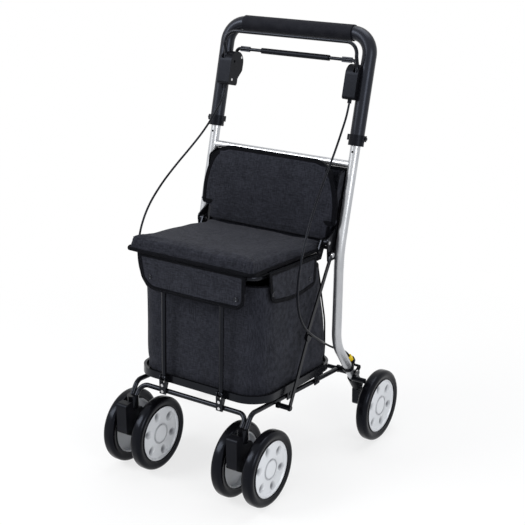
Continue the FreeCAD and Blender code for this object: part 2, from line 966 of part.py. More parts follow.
# Eyes at the rear ends of the rails, on the pivot axle
tongue_half = size.eye_tongue / 2
eye_half = size.eye_thickness / 2
eye_disc = place(
    cylinder(size.eye_radius, size.eye_thickness), rail_half - eye_half, pivot_y, pivot_z, 90, (0, 1, 0),
)
eye_tongue = box_in_frame(
    base, rail_half - eye_half, rail_half + eye_half,
    -size.eye_tongue_length, zero, -tongue_half, tongue_half,
)
eye_bore = rod_across(
    size.pivot_radius + size.running_gap, rail_half - eye_half - size.seat_gap,
    rail_half + eye_half + size.seat_gap, pivot_y, pivot_z,
)
rail_tool = place(
    cylinder(size.rail_radius + size.seat_gap, size.eye_tongue_length),
    rail_half, rail_start_y, rail_start_z, base.angle + 90,
)
tongue_core = place(
    cylinder(size.rail_radius - size.rail_wall - size.running_gap, size.eye_tongue_length),
    rail_half, rail_start_y, rail_start_z, base.angle + 90,
)
eye = cut(joined(eye_disc, eye_tongue), eye_bore, cut(rail_tool, tongue_core))
axle_end = brake_plate_inner + size.brake_plate_thickness + size.seat_gap
pivot_axle = rod_across(size.pivot_radius, -axle_end, axle_end, pivot_y, pivot_z)
spacer = cut(
    rod_across(
        size.spacer_radius, rail_half + eye_half + size.seat_gap,
        size.tube_half - size.tube_radius - size.seat_gap, pivot_y, pivot_z,
    ),
    rod_across(size.pivot_radius, rail_half, size.tube_half, pivot_y, pivot_z),
)
axle_nut = rod_across(
    size.bolt_head_radius + size.bolt_head_height, axle_end, axle_end + size.bolt_head_height,
    pivot_y, pivot_z,
)
node("pivot_axle", together(pivot_axle, spacer, mirrored(spacer)))

# Uprights
leg_end_y, leg_end_z = leg.point(zero, -size.leg_length)
tube_top_y, tube_top_z = upright.point(zero, size.tube_insert)
upright_tube = side_tube(
    size.tube_half,
    [
        (leg_end_y, leg_end_z),
        (size.leg_bend_y, size.leg_bend_height, size.leg_bend),
        (size.knee_y, size.knee_height, size.knee_bend),
        (tube_top_y, tube_top_z),
    ],
    size.tube_radius, size.tube_wall,
)
front_hole = in_frame(
    cylinder(size.hole_radius, size.tube_radius + size.seat_gap),
    upright, size.tube_half, zero, size.front_hole, 90,
)
hole_count = 4
hole_tools = [front_hole]
for count in range(hole_count):
    hole_y, hole_z = upright.point(zero, size.button_height + count * size.hole_pitch)
    hole_end = size.tube_half + size.tube_radius + size.seat_gap
    hole_tools.append(rod_across(size.hole_radius, size.tube_half, hole_end, hole_y, hole_z))
axle_tool = rod_across(
    size.pivot_radius, size.tube_half - size.handle_radius, size.tube_half + size.handle_radius,
    pivot_y, pivot_z,
)
both_sides("upright", cut(upright_tube, axle_tool, *hole_tools))
bush = cut(
    in_frame(
        cylinder(size.handle_radius - size.handle_wall - size.running_gap, size.bush_height),
        upright, size.tube_half, zero, size.tube_insert - size.bush_height,
    ),
    in_frame(
        cylinder(size.tube_radius, size.tube_insert),
        upright, size.tube_half, zero, zero,
    ),
)

# Cross tube and rear panel
cross_y, cross_tube_z = upright.point(zero, -size.cross_tube_drop)
cross_tube = rod_across(size.cross_tube_radius, -size.tube_half, size.tube_half, cross_y, cross_tube_z)
saddle = in_frame(
    cylinder(size.tube_radius, size.cross_tube_drop * 2), upright,
    size.tube_half, zero, -size.cross_tube_drop * 2,
)
node("upper_cross_tube", cut(cross_tube, saddle, mirrored(saddle)))
panel_top = -(size.cross_tube_drop + size.cross_tube_radius + size.seat_gap)
node(
    "rear_panel",
    panel(
        [
            (-panel_half, -size.panel_low),
            (panel_half, -size.panel_low),
            (panel_half, panel_top),
            (-panel_half, panel_top),
        ],
        -size.panel_thickness / 2, size.panel_thickness, upright,
    ),
)
notch_half = hinge_lug_inner - size.seat_gap * 2
node(
    "backrest",
    panel(
        [
            (-notch_half, -size.backrest_low),
            (notch_half, -size.backrest_low),
            (notch_half, -size.backrest_notch),
            (backrest_half, -size.backrest_notch, size.backrest_low_corner),
            (backrest_half, -size.backrest_high, size.backrest_corner),
            (-backrest_half, -size.backrest_high, size.backrest_corner),
            (-backrest_half, -size.backrest_notch, size.backrest_low_corner),
            (-notch_half, -size.backrest_notch),
        ],
        -size.backrest_front, size.backrest_thickness, upright,
    ),
)

# Side brackets with the seat's hinge pins and the upper stays' pins
bracket_outer = size.tube_half - size.tube_radius
bracket_inner = bracket_outer - size.bracket_thickness
bracket_rear = size.bracket_lobe
bracket_front = size.backrest_thickness - size.backrest_front + size.seat_gap
bracket_neck = -size.backrest_notch - size.bracket_lobe / 2
bracket_low = stay_top_height - size.bracket_drop
bracket_outline = [
    (stay_top_y - size.bracket_lobe, bracket_low, size.bracket_lobe / 2),
    (size.knee_y + bracket_rear, bracket_low, size.bracket_lobe / 2),
    (size.knee_y + bracket_rear, size.knee_height + size.bracket_lobe, size.bracket_lobe),
    upright.point(bracket_rear, -size.bracket_top) + (size.bracket_lobe / 2,),
    upright.point(bracket_front, -size.bracket_top) + (size.bracket_lobe / 2,),
    upright.point(bracket_front, bracket_neck) + (size.bracket_lobe / 2,),
    (hinge_y - size.bracket_lobe, hinge_height + size.bracket_lobe, size.bracket_lobe),
]
bracket_pins = ((size.hinge_pin, hinge_y, hinge_height), (size.stay_pin, stay_top_y, stay_top_height))
bracket_lobes = [
    rod_across(size.bracket_lobe, bracket_inner, bracket_outer, y, z) for _, y, z in bracket_pins
]
bracket_bores = [
    rod_across(radius, bracket_inner - size.seat_gap, bracket_outer + size.seat_gap, y, z)
    for radius, y, z in bracket_pins
]
bracket = plate(bracket_outline, bracket_inner, bracket_outer, ())
pair("side_brackets", cut(joined(bracket, *bracket_lobes), *bracket_bores))
hinge_pin = rod_across(
    size.hinge_pin, hinge_lug_inner - size.seat_gap, bracket_outer, hinge_y, hinge_height,
)
upper_stay_outer = upper_stay_inner + size.stay_thickness
lower_stay_inner = upper_stay_outer + size.stay_gap
lower_stay_outer = lower_stay_inner + size.stay_thickness
stay_pin = rod_across(
    size.stay_pin, bracket_inner, upper_stay_outer + size.seat_gap, stay_top_y, stay_top_height,
)
stay_pin_head = rod_across(
    size.bolt_head_radius, upper_stay_outer + size.seat_gap,
    upper_stay_outer + size.seat_gap + size.bolt_head_height, stay_top_y, stay_top_height,
)
pair("frame_bolts", together(joined(stay_pin, stay_pin_head), hinge_pin, axle_nut))


def stay(start, end, inner, outer, bores):
    """A flat bar with a round eye at each end."""
    angle = heading(end[0] - start[0], end[1] - start[1])
    own = Frame(angle, start[0], start[1])
    length = own.local(*end)[1]
    bar = box_in_frame(own, inner, outer, -size.stay_bar, size.stay_bar, zero, length)
    eyes = [rod_across(size.stay_eye, inner, outer, *point) for point in (start, end)]
    tools = []
    for point, radius in zip((start, end), bores):
        if radius is not None:
            tools.append(rod_across(radius, inner - size.seat_gap, outer + size.seat_gap, *point))
    return cut(joined(bar, *eyes), *tools)


stay_top = (stay_top_y, stay_top_height)
stay_knee = (size.stay_knee_y, size.stay_knee_height)
stay_foot = (size.stay_foot_y, size.stay_foot_height)
pin_bore = size.stay_pin + size.running_gap
pair("upper_stays", stay(stay_top, stay_knee, upper_stay_inner, upper_stay_outer, (pin_bore, pin_bore)))
lower_bar = stay(stay_knee, stay_foot, lower_stay_inner, lower_stay_outer, (None, pin_bore))
knee_block = rod_across(
    size.knee_block, lower_stay_outer, lower_stay_outer + size.knee_block_thickness, *stay_knee
)
pair("lower_stays", together(lower_bar, knee_block))

# Lugs under the rails, with the lower stays' pins
lug_half = size.lug_thickness / 2
rail_at_foot = pivot_z + (pivot_y - size.stay_foot_y) * sine(size.base_slope) / cosine(size.base_slope)
lug_plate = joined(
    rod_across(size.stay_eye, rail_half - lug_half, rail_half + lug_half, *stay_foot),
    place(
        box(size.lug_thickness, size.stay_eye * 2, rail_at_foot - size.stay_foot_height),
        rail_half - lug_half, size.stay_foot_y - size.stay_eye, size.stay_foot_height,
    ),
)
lug_rail_y, lug_rail_z = base.point(-size.rail_length / 2, zero)
rail_clear = place(
    cylinder(size.rail_radius, size.rail_length / 2), rail_half, lug_rail_y, lug_rail_z, base.angle + 90,
)
lug_pin = rod_across(size.stay_pin, rail_half, lower_stay_outer + size.seat_gap, *stay_foot)
lug_head = rod_across(
    size.bolt_head_radius, lower_stay_outer + size.seat_gap,
    lower_stay_outer + size.seat_gap + size.knee_block_thickness, *stay_foot,
)
lug_collar = rod_across(
    size.stay_pin * 2, rail_half, lower_stay_inner - size.seat_gap, *stay_foot,
)
stay_lug = joined(cut(lug_plate, rail_clear), lug_pin, lug_head, lug_collar)

# Tray ring, board and bag


def tray_outline(grow, front, rear, half, corner):
    return [
        (-half - grow, front - grow, corner + grow),
        (half + grow, front - grow, corner + grow),
        (half + grow, rear + grow, corner + grow),
        (-half - grow, rear + grow, corner + grow),
    ]


def ring_outline(grow):
    return tray_outline(grow, size.ring_front, size.ring_rear, ring_half, size.ring_corner)


node(
    "tray_ring",
    slab(ring_outline(zero), size.ring_bottom, size.ring_top, tray, [ring_outline(-size.ring_thickness)]),
)
bag_inset = size.ring_thickness + size.bag_gap
bag_low = size.ring_bottom + size.ring_thickness + size.board_thickness
bag_half = ring_half - bag_inset
bag_front = size.ring_front + bag_inset
bag_rear = size.ring_rear - bag_inset
bag_corner = size.ring_corner - bag_inset
node(
    "tray_board",
    slab(
        tray_outline(zero, bag_front, bag_rear, bag_half, bag_corner),
        bag_low - size.board_thickness - size.seat_gap, bag_low - size.seat_gap, tray,
    ),
)


def rounded_loop(half, front, rear, corner, z):
    """A rounded rectangle at a height of the tray's frame, as a wire."""
    flat = [(half, front), (half, rear), (-half, rear), (-half, front)]
    corners = [FreeCAD.Vector(float(x), float(y), float(z)) for x, y in flat]
    edges = []
    ends = []
    for i, here in enumerate(corners):
        into = (here - corners[i - 1]).normalize()
        out = (corners[(i + 1) % 4] - here).normalize()
        first = here - into * float(corner)
        last = here + out * float(corner)
        middle = here + (out - into).normalize() * (float(corner) * (math.sqrt(2) - 1))
        ends.append((first, middle, last))
    for i, (first, middle, last) in enumerate(ends):
        edges.append(Part.Arc(first, middle, last).toShape())
        edges.append(Part.LineSegment(last, ends[(i + 1) % 4][0]).toShape())
    return Part.Wire(edges)


def bag_body(inset, low, high):
    """The bag's block, drawn in by an inset; its rear leans in towards the top."""
    loops = []
    slope = (size.bag_top_rear - bag_rear) / (bag_top - bag_low)
    for z in (low, high):
        rear = bag_rear + slope * (z - bag_low)
        share = (z - bag_low) / (bag_top - bag_low)
        corner = bag_corner + (size.bag_top_corner - bag_corner) * share - inset
        loops.append(rounded_loop(bag_half - inset, bag_front + inset, rear - inset, corner, z))
    return Part.makeLoft(loops, True, True)


bag_shape = bag_body(zero, bag_low, bag_top).cut(
    bag_body(size.bag_wall, bag_low + size.bag_wall, bag_top + size.bag_wall)
)
bag = doc.addObject("Part::Feature", tag("bag"))
bag.Shape = bag_shape
node("bag", place(bag, zero, size.tray_y, size.tray_height, tray.angle))


def tray_bracket(y):
    """An angle that carries the ring on the rail's outer side."""
    across, rail_z = base.point(y, zero)
    ring_y = tray.local(across, rail_z)[0]
    top_y, top_z = tray.point(ring_y, size.ring_bottom - size.seat_gap)
    inner = rail_half + size.rail_radius
    web = place(
        box(size.clip_thickness, size.clip_half * 2, top_z - rail_z + size.rail_radius),
        inner, across - size.clip_half, rail_z - size.rail_radius,
    )
    shelf = in_frame(
        box(ring_half - inner, size.clip_half * 2, size.clip_thickness), tray,
        inner, ring_y - size.clip_half, size.ring_bottom - size.seat_gap - size.clip_thickness,
    )
    trim = in_frame(
        box(ring_half, size.clip_half * 2 * 2, size.clip_half), tray,
        inner - size.clip_half, ring_y - size.clip_half * 2, size.ring_bottom - size.seat_gap,
    )
    screw_seat = inner + size.clip_thickness
    screw = rod_across(
        size.clip_screw_head, screw_seat, screw_seat + size.clip_screw_height,
        across, rail_z + size.rail_radius,
    )
    return joined(cut(joined(web, shelf), trim), screw)


bracket_shares = (0.3, 0.62)
tray_brackets = [tray_bracket(-size.rail_length * share) for share in bracket_shares]
pair("rail_fittings", together(eye, stay_lug, *tray_brackets))

# Front rods in their clips
rods = Frame(-size.rod_lean, size.rod_foot_y, size.rod_foot_height)
rod_reach = (seat_height - size.rod_foot_height) * cosine(size.rod_lean) - size.rod_below_seat
rod = in_frame(cylinder(size.rod_radius, rod_reach), rods, size.rod_half, zero, zero)
rod_eye = rod_across(
    size.rod_eye, size.rod_half - size.rod_eye_half, size.rod_half + size.rod_eye_half,
    size.rod_foot_y, size.rod_foot_height,
)
rod_bore = rod_across(
    size.stay_pin + size.running_gap, size.rod_half - size.clip_half, size.rod_half + size.clip_half,
    size.rod_foot_y, size.rod_foot_height,
)
pair("front_rods", cut(joined(rod, rod_eye), rod_bore))
clip_front = size.rod_foot_y - size.rod_radius - size.clip_gap - size.clip_thickness
clip_low = cross_z - size.rail_radius
clip_top = size.rod_foot_height + size.rod_radius
clip_cheek = size.rod_radius + size.clip_gap
cheeks = []
for way in (-1, 1):
    start = size.rod_half + way * (clip_cheek + size.clip_thickness / 2) - size.clip_thickness / 2
    cheeks.append(
        plate(
            [
                (clip_front, clip_low),
                (size.rod_foot_y - size.rail_radius, clip_low),
                (size.rod_foot_y + size.rod_radius, size.rod_foot_height - size.rod_radius * 2),
                (size.rod_foot_y + size.rod_radius, clip_top, size.clip_corner),
                (clip_front, clip_top, size.clip_corner),
            ],
            start, start + size.clip_thickness,
        )
    )
clip_face = place(
    box(
        (clip_cheek + size.clip_thickness) * 2, size.clip_thickness,
        size.rod_foot_height - size.rod_radius * 2 - clip_low,
    ),
    size.rod_half - clip_cheek - size.clip_thickness, clip_front, clip_low,
)
cross_clear = rod_across(size.rail_radius, zero, cross_half - size.cross_rail_bend, corner_y, cross_z)
clip_pin = rod_across(
    size.stay_pin, size.rod_half - clip_cheek - size.clip_thickness,
    size.rod_half + clip_cheek + size.clip_thickness, size.rod_foot_y, size.rod_foot_height,
)
pair("rod_clips", cut(joined(clip_face, *cheeks, clip_pin), cross_clear))
clip_screws = []
screw_drop_shares = (1.35, 2.6)
for share in screw_drop_shares:
    clip_screws.append(
        place(
            cylinder(size.clip_screw_head, size.clip_screw_height),
            size.rod_half, clip_front, size.rod_foot_height - size.clip_screw_drop * share, 90,
        )
    )
node("clip_screws", together(*clip_screws, *[mirrored(piece) for piece in clip_screws]))

# Seat tube with its hinge lugs
seat_tube_z = -(size.seat_board_thickness + size.seat_tube_gap + size.seat_tube_radius)
seat_foot_y, seat_foot_z = seat.point(-size.seat_tube_rear, seat_tube_z)
node(
    "seat_frame",
    arch_tube(
        seat_tube_half, size.seat_tube_front - size.seat_tube_rear, size.seat_tube_bend,
        size.seat_tube_radius, size.seat_tube_wall, seat_foot_y, seat_foot_z, seat.angle + 90,
    ),
)
lug_foot_y, lug_foot_z = seat.point(-size.seat_tube_rear - size.bracket_lobe * 2, seat_tube_z)
lug_back_y, lug_back_z = seat.point(-size.seat_tube_rear, seat_tube_z - size.seat_tube_radius)
hinge_lug = plate(
    [
        (lug_foot_y - size.bracket_lobe, lug_foot_z - size.seat_tube_radius, size.hinge_lug_thickness),
        (lug_back_y, lug_back_z, size.hinge_lug_thickness),
        (hinge_y + size.bracket_lobe, hinge_height, size.lug_corner),
        (hinge_y + size.bracket_lobe, hinge_height + size.bracket_lobe, size.lug_corner),
        (hinge_y - size.bracket_lobe, hinge_height + size.bracket_lobe, size.lug_corner),
    ],
    hinge_lug_inner, hinge_lug_inner + size.hinge_lug_thickness,
    [(hinge_y, hinge_height, size.hinge_pin + size.running_gap)],
)
lug_weld = rod_across(
    size.hinge_pin, seat_tube_half + size.seat_tube_radius,
    hinge_lug_inner, lug_foot_y, lug_foot_z,
)
hinge_boss = cut(
    rod_across(
        size.hinge_boss, hinge_lug_inner + size.hinge_lug_thickness,
        bracket_inner - size.seat_gap, hinge_y, hinge_height,
    ),
    rod_across(
        size.hinge_pin + size.running_gap, hinge_lug_inner, bracket_outer,
        hinge_y, hinge_height,
    ),
)
pair("hinge_lugs", joined(hinge_lug, lug_weld, hinge_boss))

# Lid: board, cushion and flaps
board_half = seat_half - size.seat_board_inset
board_z = -size.seat_board_thickness - size.lid_gap
node(
    "seat_board",
    slab(
        [
            (-board_half, -size.seat_depth + size.seat_board_inset, size.seat_tube_bend),
            (board_half, -size.seat_depth + size.seat_board_inset, size.seat_tube_bend),
            (board_half, -size.seat_board_inset * 2),
            (-board_half, -size.seat_board_inset * 2),
        ],
        board_z, board_z + size.seat_board_thickness, seat,
    ),
)


def cushion_section(y, half, low, high, crown, draw):
    """One section across the cushion: flat below, drawn-in sides and a crowned top."""
    points = {
        "low_left": (-half, low), "low_right": (half, low),
        "high_left": (-half, high), "high_right": (half, high),
        "left": (-half + draw, (low + high) / 2), "right": (half - draw, (low + high) / 2),
        "crown": (zero, high + crown),
    }
    at = {key: FreeCAD.Vector(float(x), float(y), float(z)) for key, (x, z) in points.items()}
    return Part.Wire([
        Part.LineSegment(at["low_left"], at["low_right"]).toShape(),
        Part.Arc(at["low_right"], at["right"], at["high_right"]).toShape(),
        Part.Arc(at["high_right"], at["crown"], at["high_left"]).toShape(),
        Part.Arc(at["high_left"], at["left"], at["low_left"]).toShape(),
    ])


# Shares of the seat's depth, its half width, and the cushion's foot and top, from front to rear
cushion_shares = (
    (1.0, 0.978, 0.20, 0.74, 0.3),
    (0.988, 0.995, 0.05, 0.92, 0.7),
    (0.96, 1.0, 0.0, 1.0, 1.0),
    (0.80, 0.998, 0.0, 1.02, 1.0),
    (0.60, 0.997, 0.0, 1.0, 1.0),
    (0.40, 0.998, 0.0, 0.95, 1.0),
    (0.22, 1.0, 0.0, 0.88, 1.0),
    (0.10, 0.997, 0.03, 0.72, 0.9),
    (0.03, 0.98, 0.15, 0.52, 0.5),
)
sections = [
    cushion_section(
        -size.seat_depth * depth_share, seat_half * half_share,
        size.cushion_thickness * foot_share, size.cushion_thickness * top_share,
        size.cushion_crown * swell_share, size.cushion_draw * swell_share,
    )
    for depth_share, half_share, foot_share, top_share, swell_share in cushion_shares
]
cushion = free_piece(Part.makeLoft(sections, True, True))
node("cushion", place(cushion, zero, seat_y, seat_height, seat.angle))

front_flap_y = -size.seat_depth - size.flap_thickness + size.seat_board_inset
front_flap = panel(
    [
        (-front_flap_half, -size.front_flap_side_drop, size.side_flap_corner),
        (-front_flap_half + size.front_flap_corner * 2, -size.front_flap_drop,
         size.front_flap_corner * 2),
        (front_flap_half - size.front_flap_corner, -size.front_flap_drop, size.front_flap_corner),
        (front_flap_half, -size.front_flap_side_drop, size.side_flap_corner),
        (front_flap_half, -size.lid_gap),
        (-front_flap_half, -size.lid_gap),
    ],
    front_flap_y, size.flap_thickness, seat,
)
node("front_flap", front_flap)
side_flap = plate(
    [
        (-size.side_flap_front, -size.side_flap_front_drop, size.side_flap_corner),
        (-size.side_flap_deep_at, -size.side_flap_drop, size.side_flap_corner * 3),
        (-size.side_flap_rear, -size.side_flap_front_drop, size.side_flap_corner),
        (-size.side_flap_rear, -size.lid_gap),
        (-size.side_flap_front, -size.lid_gap, size.flap_thickness),
    ],
    side_flap_half, side_flap_half + size.flap_thickness, (), seat,
)
side_flap_hem = box_in_frame(
    seat, board_half, side_flap_half + size.flap_thickness,
    -size.side_flap_front + size.side_flap_corner, -size.side_flap_rear,
    -size.lid_gap - size.flap_thickness, -size.lid_gap,
)
pair("side_flaps", joined(side_flap, side_flap_hem))
doc.recompute()


def snap_across(y, z):
    """A press stud on a side flap."""
    across, up = seat.point(y, z)
    outer = side_flap_half + size.flap_thickness
    return rod_across(size.snap_radius, outer, outer + size.side_snap_height, across, up)


def snap_ahead(x, z):
    """A press stud on the front flap."""
    return in_frame(
        cylinder(size.snap_radius, size.snap_height), seat, x, front_flap_y, z, 90,
    )


# Shares of the flap's places along and of its drop
side_snap_shares = ((0.935, 0.62), (0.33, 0.6))
front_snap_shares = ((-0.7, 0.58), (0.8, 0.66))
side_snaps = [
    snap_across(-size.side_flap_front * along, -size.side_flap_drop * down)
    for along, down in side_snap_shares
]
front_snaps = [
    snap_ahead(front_flap_half * along, -size.front_flap_drop * down)
    for along, down in front_snap_shares
]
node("snaps", together(*side_snaps, *[mirrored(piece) for piece in side_snaps], *front_snaps))

# Handle tube, grip and collars
handle_foot_y, handle_foot_z = upright.point(zero, size.handle_start)
handle_tube = arch_tube(
    size.tube_half, size.handle_top - size.handle_start, size.handle_bend,
    size.handle_radius, size.handle_wall, handle_foot_y, handle_foot_z, upright.angle,
)
button_y, button_z = upright.point(zero, size.button_height)
button_bore = rod_across(
    size.button_radius + size.running_gap, size.tube_half, size.tube_half + size.collar_ear * 2,
    button_y, button_z,
)
node("handle_tube", cut(handle_tube, button_bore, mirrored(button_bore)))
grip = plate(
    [
        (-size.grip_wide, size.handle_top - size.grip_thick, size.grip_corner),
        (size.grip_wide, size.handle_top - size.grip_thick, size.grip_corner),
        (size.grip_wide, size.handle_top + size.grip_thick, size.grip_corner),
        (-size.grip_wide, size.handle_top + size.grip_thick, size.grip_corner),
    ],
    -grip_half, grip_half, [(zero, size.handle_top, size.handle_radius)], upright,
)
node("grip_pad", grip)
collar_round = in_frame(
    cylinder(size.collar_radius, size.collar_height), upright, size.tube_half, zero, zero,
)
collar_ears = box_in_frame(
    upright, size.tube_half - size.collar_ear, size.tube_half + size.collar_ear,
    -size.collar_ear_half, size.collar_ear_half, size.collar_ear_low, size.collar_height,
)
silver_bore = in_frame(
    cylinder(size.tube_radius + size.running_gap, size.collar_height),
    upright, size.tube_half, zero, -size.seat_gap,
)
handle_bore = in_frame(
    cylinder(size.handle_radius, size.collar_height), upright, size.tube_half, zero, size.handle_start,
)
pair("collars", cut(joined(collar_round, collar_ears), silver_bore, handle_bore, button_bore))
both_sides(
    "height_button",
    rod_across(
        size.button_radius, size.tube_half + size.button_inner,
        size.tube_half + size.collar_ear + size.button_proud, button_y, button_z,
    ),
)

# Brake housings


def housing_outline(inset):
    """The housing's side view, drawn in by an inset; its rear has a notch for the fingers."""
    small = size.housing_small_round - inset / 2
    large = size.housing_round - inset
    return [
        (-size.housing_front + inset, size.housing_low + inset, small),
        (size.housing_notch - inset, size.housing_low + inset, small),
        (size.housing_notch - inset, size.housing_notch_low + inset, small),
        (size.housing_back - inset, size.housing_notch_top + inset, small),
        (size.housing_back - inset, size.housing_top - inset, large),
        (-size.housing_front + inset, size.housing_top - inset, large),
    ]


housing_block = plate(housing_outline(zero), housing_inner, housing_outer, (), upright)
housing_hollow = plate(
    housing_outline(size.housing_wall),
    housing_inner - size.housing_wall, housing_outer - size.housing_wall, (), upright,
)
saddle_tool = in_frame(
    cylinder(size.handle_radius, size.handle_top), upright, size.tube_half, zero, zero,
)
saddle_back = in_frame(
    cylinder(size.handle_radius + size.housing_wall, size.handle_top), upright, size.tube_half, zero, zero,
)
bail_slot_half = size.bail_radius + size.slot_gap
bail_slot = box_in_frame(
    upright, bail_half - bail_slot_half, bail_half + bail_slot_half,
    -size.housing_front - size.housing_wall, -size.bail_pivot_front + size.bail_radius * 3,
    size.bail_pivot_height + size.bail_eye * 2, size.housing_top + size.housing_wall,
)
park_slot_half = size.park_radius + size.slot_gap
park_slot = box_in_frame(
    upright, park_half - park_slot_half, park_half + park_slot_half,
    -park_slot_half, size.housing_back + size.housing_wall,
    size.park_pivot + size.park_radius, size.housing_top + size.housing_wall,
)
gland_tool = in_frame(
    cylinder(size.gland_radius, size.gland_height), upright,
    cable_exit_half, -size.cable_exit_front, size.housing_low - size.gland_height,
)
housing = cut(
    joined(housing_block, gland_tool),
    cut(housing_hollow, saddle_back), saddle_tool, bail_slot, park_slot,
)
pair("brake_housings", housing)
cover_inner = housing_inner - size.cover_thickness
cover = plate(
    housing_outline(zero), cover_inner, housing_inner,
    [(-size.housing_front / 2, size.housing_top - size.housing_round, size.screw_radius)], upright,
)
pair("housing_covers", cover)
screw_places = (
    (-size.housing_front + size.housing_round / 2, size.housing_low + size.housing_round / 2),
    (size.housing_back / 2, size.housing_top - size.housing_round / 2),
)
screws = []
for across, up in screw_places:
    y, z = upright.point(across, up)
    screws.append(rod_across(size.screw_radius, cover_inner - size.cover_thickness / 2, cover_inner, y, z))

# Brake bail
bail_front_y, bail_front_z = upright.point(-size.bail_front, size.bail_height)
bail_turn_y, bail_turn_z = upright.point(-size.bail_front, size.bail_turn_height)
bail_low_y, bail_low_z = upright.point(-size.bail_pivot_front, size.bail_turn_low)
bail_pivot_y, bail_pivot_z = upright.point(-size.bail_pivot_front, size.bail_pivot_height)
bail_side = [
    (bail_pivot_y, bail_pivot_z, size.bail_turn_bend),
    (bail_low_y, bail_low_z, size.bail_turn_bend),
    (bail_turn_y, bail_turn_z, size.bail_turn_bend),
    (bail_front_y, bail_front_z, size.bail_bend),
]
bail_points = [(bail_half, y, z, bend) for y, z, bend in bail_side]
bail_points += [(-bail_half, y, z, bend) for y, z, bend in reversed(bail_side)]
bail_rod = free_piece(rod_shape(bent_wire(bail_points), size.bail_radius))
bail_eye_half = size.bail_eye_width / 2
bail_eye = rod_across(
    size.bail_eye, bail_half - bail_eye_half, bail_half + bail_eye_half, bail_pivot_y, bail_pivot_z,
)
bail_bore = rod_across(
    size.bail_pin + size.running_gap, bail_half - size.bail_eye, bail_half + size.bail_eye,
    bail_pivot_y, bail_pivot_z,
)
node("brake_bail", cut(joined(bail_rod, bail_eye, mirrored(bail_eye)), bail_bore, mirrored(bail_bore)))
bail_pin = rod_across(
    size.bail_pin, housing_inner, housing_outer - size.housing_wall, bail_pivot_y, bail_pivot_z,
)
park_foot_y, park_foot_z = upright.point(zero, size.park_pivot)
park_pin = rod_across(
    size.park_pin, housing_inner, size.tube_half - size.handle_radius - size.housing_wall,
    park_foot_y, park_foot_z,
)
pair("housing_fasteners", together(bail_pin, park_pin, *screws))

# Parking bar
park_rod = arch_tube(
    park_half, size.park_height - size.park_pivot, size.park_bend, size.park_radius, None,
    park_foot_y, park_foot_z, upright.angle,
)
park_link = box_in_frame(
    upright, park_link_inner, park_link_outer,
    -size.park_link_thickness / 2, size.park_link_thickness / 2,
    size.park_height - size.park_link_width / 2, size.park_height + size.park_link_width / 2,
)
park_eye_half = size.park_eye_width / 2
park_eye = rod_across(
    size.park_eye, park_half - park_eye_half, park_half + park_eye_half, park_foot_y, park_foot_z,
)
park_bore = rod_across(
    size.park_pin + size.running_gap, park_half - size.park_eye, park_half + size.park_eye,
    park_foot_y, park_foot_z,
)
park_eyes = (park_eye, mirrored(park_eye))
node(
    "park_bar",
    cut(joined(park_rod, *park_eyes, park_link, mirrored(park_link)), park_bore, mirrored(park_bore)),
)
park_y, park_z = upright.point(zero, size.park_height)
node(
    "park_sleeve",
    cut(
        rod_across(size.park_sleeve_radius, -park_sleeve_half, park_sleeve_half, park_y, park_z),
        rod_across(size.park_radius, -park_half, park_half, park_y, park_z),
    ),
)

# Leg sockets, axle brackets and rear axles
sleeve = cut(
    in_frame(
        cylinder(size.sleeve_radius, size.sleeve_length), leg,
        size.tube_half, zero, -size.sleeve_start - size.sleeve_length,
    ),
    in_frame(
        cylinder(size.tube_radius, size.leg_length), leg, size.tube_half, zero, -size.leg_length,
    ),
)
sleeve_end = size.sleeve_start + size.sleeve_length
fitting_y, fitting_z = leg.point(zero, -sleeve_end)
axle_corner = size.axle_boss * size.round_share
axle_block = plate(
    [
        (size.rear_axle_y - size.axle_boss, size.wheel_radius - size.axle_boss, axle_corner),
        (size.rear_axle_y + size.axle_boss, size.wheel_radius - size.axle_boss, axle_corner),
        (fitting_y + size.sleeve_radius * cosine(size.leg_lean),
         fitting_z + size.sleeve_radius * sine(size.leg_lean)),
        (fitting_y - size.sleeve_radius * cosine(size.leg_lean),
         fitting_z - size.sleeve_radius * sine(size.leg_lean)),
    ],
    size.tube_half - size.axle_block_half, size.tube_half + size.axle_block_half,
    [(size.rear_axle_y, size.wheel_radius, size.rear_axle_radius)],
)
rear_axle = joined(
    rod_across(
        size.rear_axle_radius, axle_block_inner, rear_half - rear_hub_reach - size.seat_gap,
        size.rear_axle_y, size.wheel_radius,
    ),
    rod_across(
        size.axle_radius, axle_block_inner, rear_half + web_outer - size.axle_end_gap * 2,
        size.rear_axle_y, size.wheel_radius,
    ),
)
pair("rear_axles", together(axle_block, rear_axle))

# Rear brakes
brake_outer = brake_plate_inner + size.brake_plate_thickness
pull_y, pull_z = leg.point(size.pull_behind, -size.pull_along)
lobe_box = size.brake_plate_lobe
rocker = joined(
    plate(
        [
            (size.shoe_y - lobe_box, size.shoe_height, lobe_box / 2),
            (size.shoe_y, size.shoe_height - lobe_box, lobe_box / 2),
            (pull_y + lobe_box / 2, pull_z - lobe_box / 2, lobe_box / 2),
            (pull_y, pull_z + lobe_box / 2, size.pull_radius),
            (size.shoe_y, size.shoe_height + lobe_box, lobe_box / 2),
        ],
        brake_plate_inner, brake_outer,
    ),
    rod_across(size.brake_plate_lobe, brake_plate_inner, brake_outer, pivot_y, pivot_z),
    rod_across(size.shoe_radius, brake_plate_inner, shoe_end, size.shoe_y, size.shoe_height),
    rod_across(size.pull_radius, pull_inner, brake_plate_inner, pull_y, pull_z),
)
brake_bore = rod_across(
    size.pivot_radius + size.running_gap, brake_plate_inner - size.seat_gap,
    brake_outer + size.seat_gap, pivot_y, pivot_z,
)
pair("brake_arms", cut(rocker, brake_bore))
cable_axis = size.cable_behind + size.clip_thickness / 2
clamp_ring = in_frame(
    cylinder(size.clamp_radius, size.clamp_height), leg,
    size.tube_half, zero, -size.clamp_along - size.clamp_height / 2,
)
